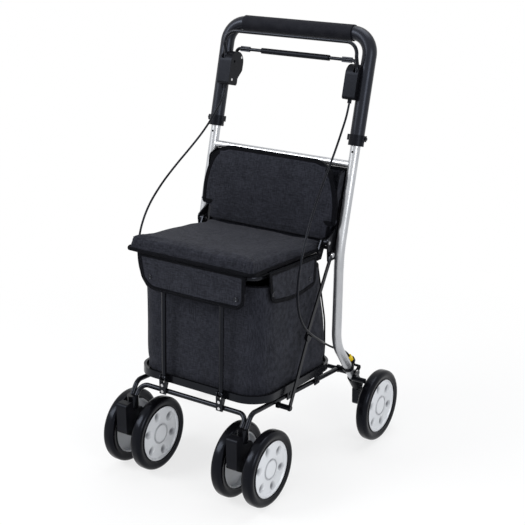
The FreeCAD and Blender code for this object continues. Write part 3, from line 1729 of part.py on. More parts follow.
clamp_ear = in_frame(
    cylinder(size.adjuster_radius + size.clip_thickness, size.clamp_height), leg,
    size.tube_half, cable_axis, -size.clamp_along - size.clamp_height / 2,
)
clamp_bore = in_frame(
    cylinder(size.tube_radius, size.leg_length), leg, size.tube_half, zero, -size.leg_length,
)
adjuster_length = size.adjuster_ring * 2 + size.adjuster_groove
adjuster_tool = in_frame(
    cylinder(size.cable_radius + size.running_gap, size.leg_length), leg, size.tube_half, cable_axis,
    -size.leg_length,
)
clamp = cut(joined(clamp_ring, clamp_ear), clamp_bore, adjuster_tool)
clamp_top = size.clamp_along - size.clamp_height / 2
adjuster_top = clamp_top - adjuster_length
first_ring = in_frame(
    cylinder(size.adjuster_radius, size.adjuster_ring), leg, size.tube_half, cable_axis, -clamp_top,
)
second_ring = in_frame(
    cylinder(size.adjuster_top_radius, size.adjuster_ring), leg,
    size.tube_half, cable_axis, -adjuster_top - size.adjuster_ring,
)
waist = in_frame(
    cylinder(size.adjuster_waist, adjuster_length), leg, size.tube_half, cable_axis, -clamp_top,
)
pair("cable_adjusters", joined(first_ring, second_ring, waist))
boot_start = size.clamp_along + size.clamp_height / 2
boot = in_frame(
    cylinder(size.boot_radius, size.boot_length), leg, size.tube_half, cable_axis,
    -boot_start - size.boot_length,
)
pair("tube_fittings", together(bush, sleeve, clamp, boot))

# Brake cables, from the glands under the housings to the adjusters behind the legs.
# The points in between are the cable's own route; the ends follow the gland and the adjuster.
gland_low = size.housing_low - size.gland_height - size.seat_gap
gland_y, gland_z = upright.point(-size.cable_exit_front, gland_low)
lead_y, lead_z = upright.point(-size.cable_exit_front - size.cable_radius, gland_low - size.cable_lead)
end_y, end_z = leg.point(cable_axis, -adjuster_top)
tail_y, tail_z = leg.point(cable_axis, -adjuster_top + size.cable_tail)
right_route = [
    (166.5, 133, 758),
    (171, 92, 713),
    (176, 42, 667),
    (180.5, -4, 619),
    (184.5, -43, 568),
    (187.5, -71, 516),
    (189, -87, 462),
    (189.5, -85, 408),
    (190, -62, 364),
    (190.2, -24, 330),
    (186.5, 20, 301),
    (172.6, 62, 276),
    (172.3, 92, 257),
    (171.4, 119, 242),
]
left_route = [
    (166.5, 131, 761),
    (171, 90, 722),
    (176, 41, 689),
    (181, -12, 657),
    (185.5, -65, 621),
    (188.5, -112, 578),
    (190, -141, 524),
    (190, -146, 464),
    (190, -126, 408),
    (190, -88, 364),
    (190.6, -41, 331),
    (187, 10, 303),
    (172.6, 58, 278),
    (172.3, 90, 258),
    (171.4, 118, 242.5),
]


def cable(name, side, route):
    """A cable's tube, with its radii and its volume beside its section times its length."""
    middle = [(side * x, y, z) for x, y, z in route]
    points = [(side * cable_exit_half, gland_y, gland_z), (side * cable_exit_half, lead_y, lead_z)]
    points += middle
    points += [(side * size.tube_half, tail_y, tail_z), (side * size.tube_half, end_y, end_z)]
    wire, radii = route_of(points)
    shape = rod_shape(wire, size.cable_radius)
    section = math.pi * float(size.cable_radius) ** 2
    print("%s: length %.1f, radii %s" % (name, wire.Length, " ".join("%.0f" % r for r in radii)))
    print("%s: volume %.1f, section times length %.1f" % (name, shape.Volume, section * wire.Length))
    steps = [FreeCAD.Vector(*[float(c) for c in point]) for point in points]
    runs = [here.distanceToPoint(after) for here, after in zip(steps, steps[1:])]
    print("%s: runs %s" % (name, " ".join("%.0f" % run for run in runs)))
    node(name, free_piece(shape))


cable("cable_right", 1, right_route)
cable("cable_left", -1, left_route)

# Every object is up to date and every piece is a valid solid before anything is written
doc.recompute()
for obj in doc.Objects:
    if "Invalid" in obj.State or "Error" in obj.State:
        raise ValueError("%s failed: %s" % (obj.Name, obj.State))
for name, obj in NODES.items():
    shape = obj.Shape
    if shape.isNull() or not shape.isValid() or not shape.Solids:
        raise ValueError("%s has no valid solid" % name)
for name, obj in NODES.items():
    obj.Shape.exportStep("parts/%s.step" % name)
print("%d pieces" % len(NODES))
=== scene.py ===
# %% [markdown]
# A shopping rollator: a folding frame on wheels, with a padded seat over a bag, a tall handle and
# cable brakes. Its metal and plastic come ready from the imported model. The cloth, the cables, the
# wheels' finer shapes and all the finishes are made here, piece by piece.

# %% Load the frame
import json
import math

import bpy
from mathutils import Matrix, Vector, noise


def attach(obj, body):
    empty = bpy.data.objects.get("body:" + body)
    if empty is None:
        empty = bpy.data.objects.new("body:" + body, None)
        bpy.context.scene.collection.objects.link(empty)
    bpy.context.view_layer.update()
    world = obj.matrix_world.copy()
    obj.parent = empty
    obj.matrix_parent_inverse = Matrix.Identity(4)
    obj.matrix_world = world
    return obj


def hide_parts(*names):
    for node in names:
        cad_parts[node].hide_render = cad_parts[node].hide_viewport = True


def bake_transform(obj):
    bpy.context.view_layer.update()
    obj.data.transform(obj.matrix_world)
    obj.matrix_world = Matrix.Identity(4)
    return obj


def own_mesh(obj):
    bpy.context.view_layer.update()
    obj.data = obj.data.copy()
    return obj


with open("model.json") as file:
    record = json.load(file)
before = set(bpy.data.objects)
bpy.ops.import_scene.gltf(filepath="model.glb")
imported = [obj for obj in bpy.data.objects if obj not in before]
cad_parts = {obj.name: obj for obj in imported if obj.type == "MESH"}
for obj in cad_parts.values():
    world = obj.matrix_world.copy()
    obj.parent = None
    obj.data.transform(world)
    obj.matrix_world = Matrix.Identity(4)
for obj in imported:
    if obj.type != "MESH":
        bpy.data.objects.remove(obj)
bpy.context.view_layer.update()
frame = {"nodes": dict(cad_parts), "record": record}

scene = bpy.context.scene
MM = 0.001
SIDES = ((1, "right"), (-1, "left"))
POINTS, FACES = 0, 2


def leaning(angle, y, z):
    """The place of a frame turned about X, with its origin in the middle plane."""
    return Matrix.Translation((0, y * MM, z * MM)) @ Matrix.Rotation(math.radians(angle), 4, "X")


upright = leaning(-15, 155.51, 716.04)
seat = leaning(-4.5, 81.8, 494.5)
tray = leaning(-4, -208.6, 238)

# %% [markdown]
# The camera comes first. It stands where the photographer stood: a little to the object's right and
# above the seat, far off with a long lens, so that upright tubes stay nearly parallel.

# %% Camera
azimuth, elevation = math.radians(33.18), math.radians(19.53)
aim = Vector((0, 68.8, 434.65)) * MM
distance = 2.6544
towards = Vector((
    math.sin(azimuth) * math.cos(elevation),
    -math.cos(azimuth) * math.cos(elevation),
    math.sin(elevation),
))
bpy.ops.object.camera_add(location=aim + towards * distance)
camera = bpy.context.object
camera.rotation_euler = towards.to_track_quat("Z", "Y").to_euler()
camera.data.lens = 79.33
camera.data.sensor_width = 36
scene.camera = camera
scene.view_settings.view_transform = "Standard"

# %% [markdown]
# Before any modelling, a few helpers. An operator acts on all that is selected, so each step starts
# by selecting one object only. A finished piece keeps its place in its mesh, with its object at the
# origin, and rides on the body of the frame that carries it.


# %% Helpers
def only(*objects):
    """Selects these objects and nothing else."""
    bpy.ops.object.select_all(action="DESELECT")
    for obj in objects:
        obj.select_set(True)
    bpy.context.view_layer.objects.active = objects[0]


def added(add, **settings):
    """A new piece by one of Blender's own shapes, with nothing else selected."""
    bpy.ops.object.select_all(action="DESELECT")
    add(**settings)
    return bpy.context.object


def copy_of(model):
    copy = model.copy()
    copy.data = model.data.copy()
    scene.collection.objects.link(copy)
    return copy


def joined(pieces):
    only(*pieces)
    bpy.ops.object.join()
    return bpy.context.object


def apply_all(obj):
    """Makes every modifier's result the mesh itself."""
    only(obj)
    for modifier in list(obj.modifiers):
        bpy.ops.object.modifier_apply(modifier=modifier.name)


def edit(obj):
    """Opens edit mode with all of the mesh selected."""
    only(obj)
    bpy.ops.object.mode_set(mode="EDIT")
    bpy.ops.mesh.select_all(action="SELECT")


def edit_chosen(obj, by):
    """Opens edit mode with the points or the faces that are chosen in the mesh."""
    only(obj)
    bpy.ops.object.mode_set(mode="EDIT")
    bpy.context.tool_settings.mesh_select_mode = [part == by for part in range(3)]


def edit_points(obj, rule):
    """Opens edit mode with only those points selected that a rule names."""
    for item in (*obj.data.edges, *obj.data.polygons):
        item.select = False
    for vertex in obj.data.vertices:
        vertex.select = rule(vertex)
    edit_chosen(obj, POINTS)


def done():
    bpy.ops.object.mode_set(mode="OBJECT")


def without_faces(obj, unwanted):
    """Deletes the faces that a rule names."""
    for face in obj.data.polygons:
        face.select = unwanted(face)
    edit_chosen(obj, FACES)
    bpy.ops.mesh.delete(type="FACE")
    done()


def tidy(obj):
    """Merges doubles and turns all faces outwards."""
    edit(obj)
    bpy.ops.mesh.remove_doubles(threshold=0.00001)
    bpy.ops.mesh.normals_make_consistent(inside=False)
    done()


def move_points(obj, move):
    """Moves each point of the mesh by a rule."""
    for vertex in obj.data.vertices:
        vertex.co = move(vertex.co.copy())


def smooth(obj, angle=35):
    only(obj)
    bpy.ops.object.shade_smooth_by_angle(angle=math.radians(angle))


def solidified(obj, thickness, middle=0.0):
    wall = obj.modifiers.new("wall", "SOLIDIFY")
    wall.thickness = thickness
    wall.offset = middle
    apply_all(obj)


def subdivided(obj):
    finer = obj.modifiers.new("finer", "SUBSURF")
    finer.levels = finer.render_levels = 1
    apply_all(obj)


def rounded_edges(obj, width, segments=2, angle=40):
    bevel = obj.modifiers.new("rounding", "BEVEL")
    bevel.width = width
    bevel.segments = segments
    bevel.limit_method = "ANGLE"
    bevel.angle_limit = math.radians(angle)
    apply_all(obj)


def seated(obj, name, place, body, finish, nodes=(), angle=35):
    """Names a finished piece, puts its place in its mesh and hands it to its body."""
    obj.name = name
    obj.data.name = name
    obj.data.transform(place @ obj.matrix_world)
    obj.matrix_world = Matrix.Identity(4)
    obj.data.materials.clear()
    obj.data.materials.append(finish)
    smooth(obj, angle)
    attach(obj, body)
    if nodes:
        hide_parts(*nodes)
    return obj


def on_arc(centre, size, degrees):
    angle = math.radians(degrees)
    return centre[0] + size * math.cos(angle), centre[1] + size * math.sin(angle)


def smoothstep(low, high, value):
    share = min(max((value - low) / (high - low), 0), 1)
    return share * share * (3 - 2 * share)


# %% [markdown]
# The finishes are made of nodes on Object coordinates, so a pattern keeps its real size on every
# piece. Most of them are a base colour that drifts a little, a fine grain as bump and a roughness
# that is never quite even. One function sets that up and each finish gives its own sizes.


# %% A finish with grain
def set_inputs(node, inputs):
    """Gives each input its value, or a link where another node's output is given."""
    for name, given in inputs.items():
        if isinstance(given, bpy.types.NodeSocket):
            node.id_data.links.new(given, node.inputs[name])
        else:
            node.inputs[name].default_value = given


def node_with(tree, kind, inputs):
    node = tree.nodes.new("ShaderNode" + kind)
    set_inputs(node, inputs)
    return node


def finish_nodes(name):
    """A new material with its node tree, its shader and the place on the piece."""
    material = bpy.data.materials.new(name)
    material.use_nodes = True
    tree = material.node_tree
    places = node_with(tree, "TexCoord", {}).outputs["Object"]
    return material, tree, tree.nodes["Principled BSDF"], places


def noise_map(tree, places, size, detail=3.0, stretch=(1, 1, 1)):
    """A noise with features of about this size in metres, stretched along the axes."""
    scale = [1 / (size * share) for share in stretch]
    mapped = node_with(tree, "Mapping", {"Vector": places, "Scale": scale}).outputs["Vector"]
    texture = node_with(tree, "TexNoise", {"Vector": mapped, "Scale": 1, "Detail": detail})
    return texture.outputs["Fac"]


def between(tree, value, low, high, from_low=0.3, from_high=0.7):
    """Brings a value from one range to another."""
    ranges = {"From Min": from_low, "From Max": from_high, "To Min": low, "To Max": high}
    return node_with(tree, "MapRange", {"Value": value, **ranges}).outputs["Result"]


def arithmetic(tree, kind, first, second):
    node = node_with(tree, "Math", {0: first, 1: second})
    node.operation = kind
    return node.outputs["Value"]


def two_tone(tree, value, dark, light):
    ramp = node_with(tree, "ValToRGB", {"Fac": value})
    for element, position, colour in zip(ramp.color_ramp.elements, (0.3, 0.7), (dark, light)):
        element.position = position
        element.color = (*colour, 1)
    return ramp.outputs["Color"]


def bumped(tree, shader, height, distance, strength=0.5):
    relief = {"Height": height, "Distance": distance, "Strength": strength}
    set_inputs(shader, {"Normal": node_with(tree, "Bump", relief).outputs["Normal"]})


# The tint of the reflections on black, and the usual specular level below which a finish takes it
COOL_BLACK = (0.72, 0.8, 1.0, 1)
PLAIN_SHINE = 0.5


def grained(name, dark, light, drift, grain, relief, rough, metallic=0, coat=0, shine=PLAIN_SHINE):
    """A colour that drifts between two tones, with a grain and an uneven gloss."""
    material, tree, shader, places = finish_nodes(name)
    wide, fine = noise_map(tree, places, drift), noise_map(tree, places, grain)
    colour, gloss = two_tone(tree, wide, dark, light), between(tree, fine, *rough)
    set_inputs(shader, {"Base Color": colour, "Roughness": gloss, "Metallic": metallic})
    set_inputs(shader, {"Coat Weight": coat, "Specular IOR Level": shine})
    if shine < PLAIN_SHINE:
        set_inputs(shader, {"Specular Tint": COOL_BLACK})
    bumped(tree, shader, fine, relief)
    return material


black_tube = grained(
    "black_powder_coat", (0.0025, 0.0025, 0.0032), (0.0045, 0.0045, 0.0055), 0.05, 0.0014, 0.00006,
    (0.14, 0.24), coat=0.04, shine=0.16,
)
handle_coat = grained(
    "handle_coat", (0.005, 0.005, 0.0065), (0.008, 0.008, 0.0105), 0.06, 0.0012, 0.00006,
    (0.28, 0.36), shine=0.26,
)
black_plastic = grained(
    "black_moulded_plastic", (0.003, 0.003, 0.004), (0.0055, 0.0055, 0.007), 0.03, 0.0008, 0.0001,
    (0.28, 0.42), shine=0.1,
)
grip_foam = grained(
    "grip_foam", (0.006, 0.006, 0.008), (0.011, 0.011, 0.0135), 0.02, 0.0011, 0.0003, (0.62, 0.85),
    shine=0.12,
)
bare_steel = grained(
    "bright_steel", (0.5, 0.5, 0.5), (0.68, 0.68, 0.7), 0.01, 0.0006, 0.00003, (0.2, 0.38), 1
)
grey_metal = grained(
    "grey_metal", (0.10, 0.10, 0.105), (0.2, 0.2, 0.21), 0.02, 0.0009, 0.00005, (0.35, 0.5), 0.6
)
yellow_plastic = grained(
    "yellow_plastic", (0.74, 0.52, 0.008), (0.86, 0.62, 0.02), 0.008, 0.0009, 0.00006, (0.3, 0.42),
)
cable_jacket = grained(
    "cable_jacket", (0.002, 0.002, 0.0026), (0.004, 0.004, 0.005), 0.02, 0.0006, 0.00004,
    (0.26, 0.36), shine=0.16,
)
tyre_rubber = grained(
    "tyre_rubber", (0.002, 0.002, 0.0028), (0.004, 0.004, 0.0052), 0.03, 0.0012, 0.00005,
    (0.17, 0.27), shine=0.12,
)
stud_enamel = grained(
    "stud_enamel", (0.004, 0.004, 0.005), (0.008, 0.008, 0.009), 0.004, 0.0005, 0.00003, (0.2, 0.3),
    coat=0.05, shine=0.25,
)
print("made the plain finishes")

# %% [markdown]
# The uprights are drawn aluminium tube. Drawing leaves fine lines along the tube, so the grain is
# stretched along Z, and the metal is only partly mirror-like, as satin anodising makes it.


# %% Satin aluminium
def satin_aluminium():
    material, tree, shader, places = finish_nodes("satin_aluminium")
    lines = noise_map(tree, places, 0.0009, 2.0, (1, 1, 60))
    colour = two_tone(tree, noise_map(tree, places, 0.03), (0.42, 0.43, 0.45), (0.48, 0.49, 0.51))
    gloss = between(tree, lines, 0.24, 0.4)
    set_inputs(shader, {"Base Color": colour, "Roughness": gloss, "Metallic": 0.85})
    bumped(tree, shader, lines, 0.00004, 0.35)
    return material


silver_tube = satin_aluminium()

# %% [markdown]
# The cloth is a plain weave of two dark yarns, one a little lighter and bluish, which gives the
# mottled look of denim. Slubs run along both thread directions: noises that are long one way and
# thin the other. The threads themselves are three sets of waves whose products make a lattice on
# any side of a piece, because a remeshed cushion has no UV map.


# %% Woven cloth
def woven_cloth(name, ground, fleck, pitch, rough, shine, sheen):
    material, tree, shader, places = finish_nodes(name)
    along = noise_map(tree, places, 0.0013, 2.0, (9, 1, 1))
    across = noise_map(tree, places, 0.0013, 2.0, (1, 9, 9))
    cloud = between(tree, noise_map(tree, places, 0.03, 2.0), 0.94, 1.06)

    def total(first, second):
        return arithmetic(tree, "ADD", first, second)

    def product(first, second):
        return arithmetic(tree, "MULTIPLY", first, second)

    def threads(direction):
        wave = node_with(tree, "TexWave", {"Vector": places, "Scale": math.pi / 10 / pitch})
        wave.bands_direction = direction
        return wave.outputs["Fac"]

    lattice = [threads(direction) for direction in "XYZ"]
    pairs = [product(lattice[i], lattice[i - 1]) for i in range(3)]
    weave = total(total(pairs[0], pairs[1]), pairs[2])
    slubs = product(total(along, across), cloud)
    colour = two_tone(tree, between(tree, slubs, 0.25, 0.75, 0.78, 1.22), ground, fleck)
    gloss = between(tree, slubs, rough + 0.08, rough - 0.08, 0.7, 1.3)
    set_inputs(shader, {"Base Color": colour, "Roughness": gloss})
    set_inputs(shader, {"Specular IOR Level": shine, "Specular Tint": COOL_BLACK})
    set_inputs(shader, {"Sheen Weight": sheen, "Sheen Roughness": 0.5})
    bumped(tree, shader, total(weave, slubs), 0.00035, 0.55)
    return material


denim = woven_cloth(
    "charcoal_cloth", (0.009, 0.0095, 0.013), (0.024, 0.025, 0.033), 0.0011, 0.82, 0.1, 0.04
)
binding_tape = woven_cloth(
    "binding_tape", (0.0014, 0.0014, 0.002), (0.003, 0.003, 0.004), 0.0008, 0.6, 0.05, 0.0
)
thread = grained(
    "sewing_thread", (0.006, 0.006, 0.007), (0.012, 0.012, 0.014), 0.003, 0.0004, 0.00005,
    (0.5, 0.7), shine=0.2,
)
print("made the cloths")

# %% [markdown]
# Studio: a pale floor and a white surround. The camera and the reflections see white, but the lamps
# and a dim surround light the object, so black stays black. Far from the object the floor is plain
# white too, and near it part of the real shadow shows. Soft boxes give the tubes and the tyres
# their long highlights.


# %% Studio
def white_to_camera(tree, lit, white, share=None):
    """Shows white instead of the lit shader to the camera and in reflections, by a share."""
    rays = node_with(tree, "LightPath", {}).outputs
    seen = rays["Is Camera Ray"]
    for also in ("Is Glossy Ray", "Is Transmission Ray"):
        seen = arithmetic(tree, "MAXIMUM", seen, rays[also])
    if share is not None:
        seen = arithmetic(tree, "MULTIPLY", seen, share)
    mix = node_with(tree, "MixShader", {"Fac": seen, 1: lit.outputs[0], 2: white.outputs[0]})
    output = next(node for node in tree.nodes if node.type.startswith("OUTPUT"))
    set_inputs(output, {"Surface": mix.outputs[0]})


world = bpy.data.worlds.new("studio")
scene.world = world
world.use_nodes = True
dim = world.node_tree.nodes["Background"]
set_inputs(dim, {"Color": (0.93, 0.96, 1, 1), "Strength": 0.55})
white = node_with(world.node_tree, "Background", {"Color": (1, 1, 1, 1), "Strength": 1})
white_to_camera(world.node_tree, dim, white)

floor = added(bpy.ops.mesh.primitive_plane_add, size=34, location=(0, 0, 0))
floor.name = "floor"
floor_material, floor_tree, floor_shader, floor_places = finish_nodes("pale_floor")
set_inputs(floor_shader, {"Base Color": (0.86, 0.86, 0.86, 1), "Roughness": 0.9})
floor_glow = node_with(floor_tree, "Emission", {})
reach = node_with(floor_tree, "VectorMath", {0: floor_places})
reach.operation = "LENGTH"
floor_share = between(floor_tree, reach.outputs["Value"], 0.74, 1.0, 0.35, 1.3)
white_to_camera(floor_tree, floor_shader, floor_glow, floor_share)
floor.data.materials.append(floor_material)


def soft_box(name, place, size, watts):
    """A large square lamp that faces the middle of the object."""
    lamp = added(bpy.ops.object.light_add, type="AREA", location=place)
    lamp.name = name
    lamp.data.shape = "SQUARE"
    lamp.data.size = size
    lamp.data.energy = watts
    lamp.rotation_euler = (Vector(place) - aim).to_track_quat("Z", "Y").to_euler()


soft_box("key_box", (-1.7, -2.0, 2.3), 1.3, 60)
soft_box("fill_box", (2.6, -1.3, 1.5), 1.2, 30)
soft_box("top_box", (0.2, 0.6, 2.8), 1.6, 30)

# %% [markdown]
# The two brake cables hang free from the brake housings to the adjusters at the rear legs. Each
# follows one smooth spline through a handful of chosen points. The handle slides, but each tube is
# one mesh, fixed in place.


# %% Brake cables
CABLE_RADIUS = 2.4 * MM
HOUSING_END = [(165, 161.08, 806.38), (165, 152.03, 781.88)]
ADJUSTER_END = [(187, 139.44, 231.28), (187, 151.44, 215.28)]
cable_routes = {
    "right": [
        (166.5, 133, 758), (171, 92, 713), (176, 42, 667), (180.5, -4, 619), (184.5, -43, 568),
        (187.5, -71, 516), (189, -87, 462), (189.5, -85, 408), (190, -62, 364), (190.2, -24, 330),
        (186.5, 20, 301), (172.6, 62, 276), (172.3, 92, 257), (171.4, 119, 242),
    ],
    "left": [
        (166.5, 131, 761), (171, 90, 722), (176, 41, 689), (181, -12, 657), (185.5, -65, 621),
        (188.5, -112, 578), (190, -141, 524), (190, -146, 464), (190, -126, 408), (190, -88, 364),
        (190.6, -41, 331), (187, 10, 303), (172.6, 58, 278), (172.3, 90, 258), (171.4, 118, 242.5),
    ],
}


def curve_piece(name, kind, points):
    """A new curve whose one spline has these points."""
    curve = bpy.data.curves.new(name, "CURVE")
    curve.dimensions = "3D"
    spline = curve.splines.new(kind)
    spline.points.add(len(points) - 1)
    for spot, point in zip(spline.points, points):
        spot.co = (*point, 1)
    piece = bpy.data.objects.new(name, curve)
    scene.collection.objects.link(piece)
    return piece, curve, spline


def tube_along(name, points, radius, closed=False, sides=4):
    """A round tube as a mesh along points close together."""
    tube, curve, spline = curve_piece(name, "POLY", points)
    spline.use_cyclic_u = closed
    curve.bevel_depth = radius
    curve.bevel_resolution = sides
    curve.use_fill_caps = not closed
    only(tube)
    bpy.ops.object.convert(target="MESH")
    tube = bpy.context.object
    tidy(tube)
    return tube


def smooth_route(route):
    """Points along a smooth spline that the route's points steer."""
    guide, curve, spline = curve_piece("cable_line", "NURBS", route)
    curve.resolution_u = 10
    spline.order_u = 3
    spline.use_endpoint_u = True
    bpy.context.view_layer.update()
    line = bpy.data.meshes.new_from_object(guide)
    points = [vertex.co.copy() for vertex in line.vertices]
    bpy.data.objects.remove(guide)
    bpy.data.meshes.remove(line)
    return points


for side, word in SIDES:
    places = HOUSING_END + cable_routes[word] + ADJUSTER_END
    route = [(side * x * MM, y * MM, z * MM) for x, y, z in places]
    line = smooth_route(route)
    cable = tube_along("brake_cable_" + word, line, CABLE_RADIUS)
    cable.data.materials.append(cable_jacket)
    smooth(cable)
    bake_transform(cable)
    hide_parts("cable_" + word)

# %% [markdown]
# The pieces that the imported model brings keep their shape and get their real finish. Each record
# slot names a finish, and a few nodes differ from their slot: the handle's coat is more satin than
# the small tubes of the base.

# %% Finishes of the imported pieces
slot_finishes = {
    "silver_tube": silver_tube,
    "black_tube": black_tube,
    "black_plastic": black_plastic,
    "grey_metal": grey_metal,
    "steel": bare_steel,
    "grip_foam": grip_foam,
    "yellow": yellow_plastic,
    "cable": cable_jacket,
    "cloth": denim,
    "tyre": tyre_rubber,
    "rim": grey_metal,
}
node_finishes = {
    "handle_tube": handle_coat, "snaps": stud_enamel, "hinge_lugs": black_tube,
    "rear_axles": black_tube, "park_bar": black_tube,
}
for part in frame["record"]["subparts"]:
    carried = frame["nodes"][part["node"]]
    finish = node_finishes.get(part["node"], slot_finishes[part["material_slot"]])
    if not carried.material_slots:
        carried.data.materials.append(finish)
    for material_slot in carried.material_slots:
        material_slot.material = finish
print("finished", len(frame["nodes"]), "packed pieces")

# %% [markdown]
# A turned piece, such as a tyre, starts as a ring of points moved onto the outline of its section.
# The spin operator carries that outline once around the axle.


# %% Turning
def turned(outline, steps=80):
    """Spins a closed outline of (place along the axle, radius), in millimetres, about X."""
    obj = added(
        bpy.ops.mesh.primitive_circle_add, vertices=len(outline), radius=1, fill_type="NOTHING"
    )
    for vertex, (along, radius) in zip(obj.data.vertices, outline):
        vertex.co = (along * MM, 0, max(radius, 0) * MM)
    edit(obj)
    bpy.ops.mesh.spin(steps=steps, angle=2 * math.pi, center=(0, 0, 0), axis=(1, 0, 0))
    done()
    tidy(obj)
    return obj


def arc(along, radius, size, start, end, count=6):
    """Points on a quarter or part of a circle in the section, angles in degrees."""
    degrees = [start + (end - start) * i / count for i in range(count + 1)]
    return [on_arc((along, radius), size, angle) for angle in degrees]


# %% [markdown]
# The tyre is solid rubber: a tread with round shoulders and a raised bead around the rim. It is
# modelled once and copied to all six wheels.

# %% Tyres
TYRE_RADIUS = 85.0
RIM_RADIUS = 63.5
TYRE_HALF = 14.0
SHOULDER = 9.5
bead = 1.6
right_half = (
    [(TYRE_HALF - 1, RIM_RADIUS)]
    + arc(TYRE_HALF - 1 - bead / 2, RIM_RADIUS + bead, bead, -40, 70, 5)
    + [(TYRE_HALF - 1.7, RIM_RADIUS + 3.6)]
    + arc(TYRE_HALF - SHOULDER, TYRE_RADIUS - SHOULDER, SHOULDER, -18, 84, 9)
    + [(0.9, TYRE_RADIUS), (0.5, TYRE_RADIUS)]
)
tyre_outline = right_half + [(-along, radius) for along, radius in reversed(right_half)]
tyre_model = turned(tyre_outline, 96)

# %% [markdown]
# The rim is one moulding: a lip, a flat web with six scooped dimples around it, and a round cap in
# a shallow groove that hides the axle. The dimples are cut by six tilted egg shapes, deeper towards
# the lip, so each one fades out towards the hub. Each point keeps a painted shade by its depth,
# which the finish reads to paint shade into the scoops and into the groove around the cap.

# %% Rims
LIP_HALF = 11.0
WEB_FACE = LIP_HALF - 3.5
WEB_BACK = WEB_FACE - 5.5
DIMPLE_RADIUS = 42.5
DIMPLE_DEPTH = 4.4
# How much painted shade the groove around the cap gets.
GROOVE_PAINTED_SHADE = 0.4


def rim_grey_with_painted_shade():
    """Pale grey plastic with painted shade that darkens it by the depth kept in the piece's
    attribute.
    """
    material, tree, shader, places = finish_nodes("rim_plastic")
    fine = noise_map(tree, places, 0.001)
    painted_shade = node_with(tree, "Attribute", {})
    painted_shade.attribute_name = "depth"
    # The pale tone is the rim's own grey; the dark tone is painted shade, read from the depth
    # attribute.
    colour = two_tone(tree, painted_shade.outputs["Fac"], (0.66, 0.675, 0.70), (0.1, 0.105, 0.12))
    gloss = between(tree, fine, 0.3, 0.44)
    set_inputs(shader, {"Base Color": colour, "Roughness": gloss, "Metallic": 0.1})
    bumped(tree, shader, fine, 0.00006)
    return material


rim_plastic = rim_grey_with_painted_shade()


def rim_outline(hub_reach):
    return (
        [(-hub_reach, 4.3), (WEB_FACE - 1.5, 4.3), (WEB_FACE - 1.5, 0), (WEB_FACE + 2.6, 0)]
        + [(WEB_FACE + 2.5, 12.0)]
        + arc(WEB_FACE + 1.3, 19.6, 1.2, 0, 90, 4)
        + [(WEB_FACE - 1.2, 21.0), (WEB_FACE - 1.2, 22.0)]
        + arc(WEB_FACE + 0.6, 23.6, 1.1, 200, 0, 6)
        + [(WEB_FACE, 26.4), (WEB_FACE + 0.4, 50.0), (WEB_FACE + 0.2, 57.5)]
        + [(WEB_FACE + 1.5, 59.3), (LIP_HALF - 0.7, 59.9), (LIP_HALF, 60.6), (LIP_HALF, 62.9)]
        + [(LIP_HALF - 0.6, RIM_RADIUS), (-LIP_HALF + 0.6, RIM_RADIUS)]
        + [(-LIP_HALF, 62.9), (-LIP_HALF, 60.6), (-LIP_HALF + 0.7, 59.9), (WEB_BACK - 1.2, 59.3)]
        + [(WEB_BACK, 57.5), (WEB_BACK, 17.0), (WEB_BACK - 1.5, 15.0), (-hub_reach, 14.6)]
    )


def scooped(rim):
    """Cuts the six dimples in the web's outer face, and keeps a painted shade value at each point.
    """
    cutters = []
    for i in range(6):
        around = math.radians(60 * i + 12)
        egg = added(bpy.ops.mesh.primitive_uv_sphere_add, segments=24, ring_count=14, radius=1)
        shape = Matrix.Diagonal((5.9 * MM, 10.0 * MM, 13.6 * MM, 1))
        tilt = Matrix.Rotation(math.radians(-13), 4, "Y")
        out = Matrix.Translation(((WEB_FACE + 1.9) * MM, 0, DIMPLE_RADIUS * MM))
        egg.data.transform(Matrix.Rotation(around, 4, "X") @ out @ tilt @ shape)
        cutters.append(egg)
    cutter = joined(cutters)
    dimples = rim.modifiers.new("dimples", "BOOLEAN")
    dimples.operation = "DIFFERENCE"
    dimples.solver = "EXACT"
    dimples.object = cutter
    apply_all(rim)
    bpy.data.objects.remove(cutter)
    depth = rim.data.attributes.new("depth", "FLOAT", "POINT")
    for vertex, value in zip(rim.data.vertices, depth.data):
        radius = math.hypot(vertex.co.y, vertex.co.z) / MM
        below = WEB_FACE - vertex.co.x / MM
        # Painted shade: a point is darker the further it lies inside a dimple.
        if 30 < radius < 57 and below < WEB_FACE - WEB_BACK - 0.4:
            value.value = 0.3 + min(max(below, 0) / DIMPLE_DEPTH, 1) ** 1.6 * 0.38
        # Painted shade in the groove around the cap.
        elif 18 < radius < 25 and below < 2:
            value.value = GROOVE_PAINTED_SHADE
    return rim


FRONT_AXLE_Y, REAR_AXLE_Y = -198.0, 198.0
CASTER_HALF, TWIN_HALF, REAR_HALF = 147.5, 38.8, 240.3
CASTER_CHEEK, CHEEK_GAP = 13.5, 0.3
twin_reach = TWIN_HALF - CASTER_CHEEK - CHEEK_GAP
rim_models = {
    "front": scooped(turned(rim_outline(twin_reach))),
    "rear": scooped(turned(rim_outline(TYRE_HALF))),
}


def facing(side):
    """Turns a piece that is modelled facing right to face its side."""
    return Matrix.Rotation(0 if side > 0 else math.pi, 4, "Z")


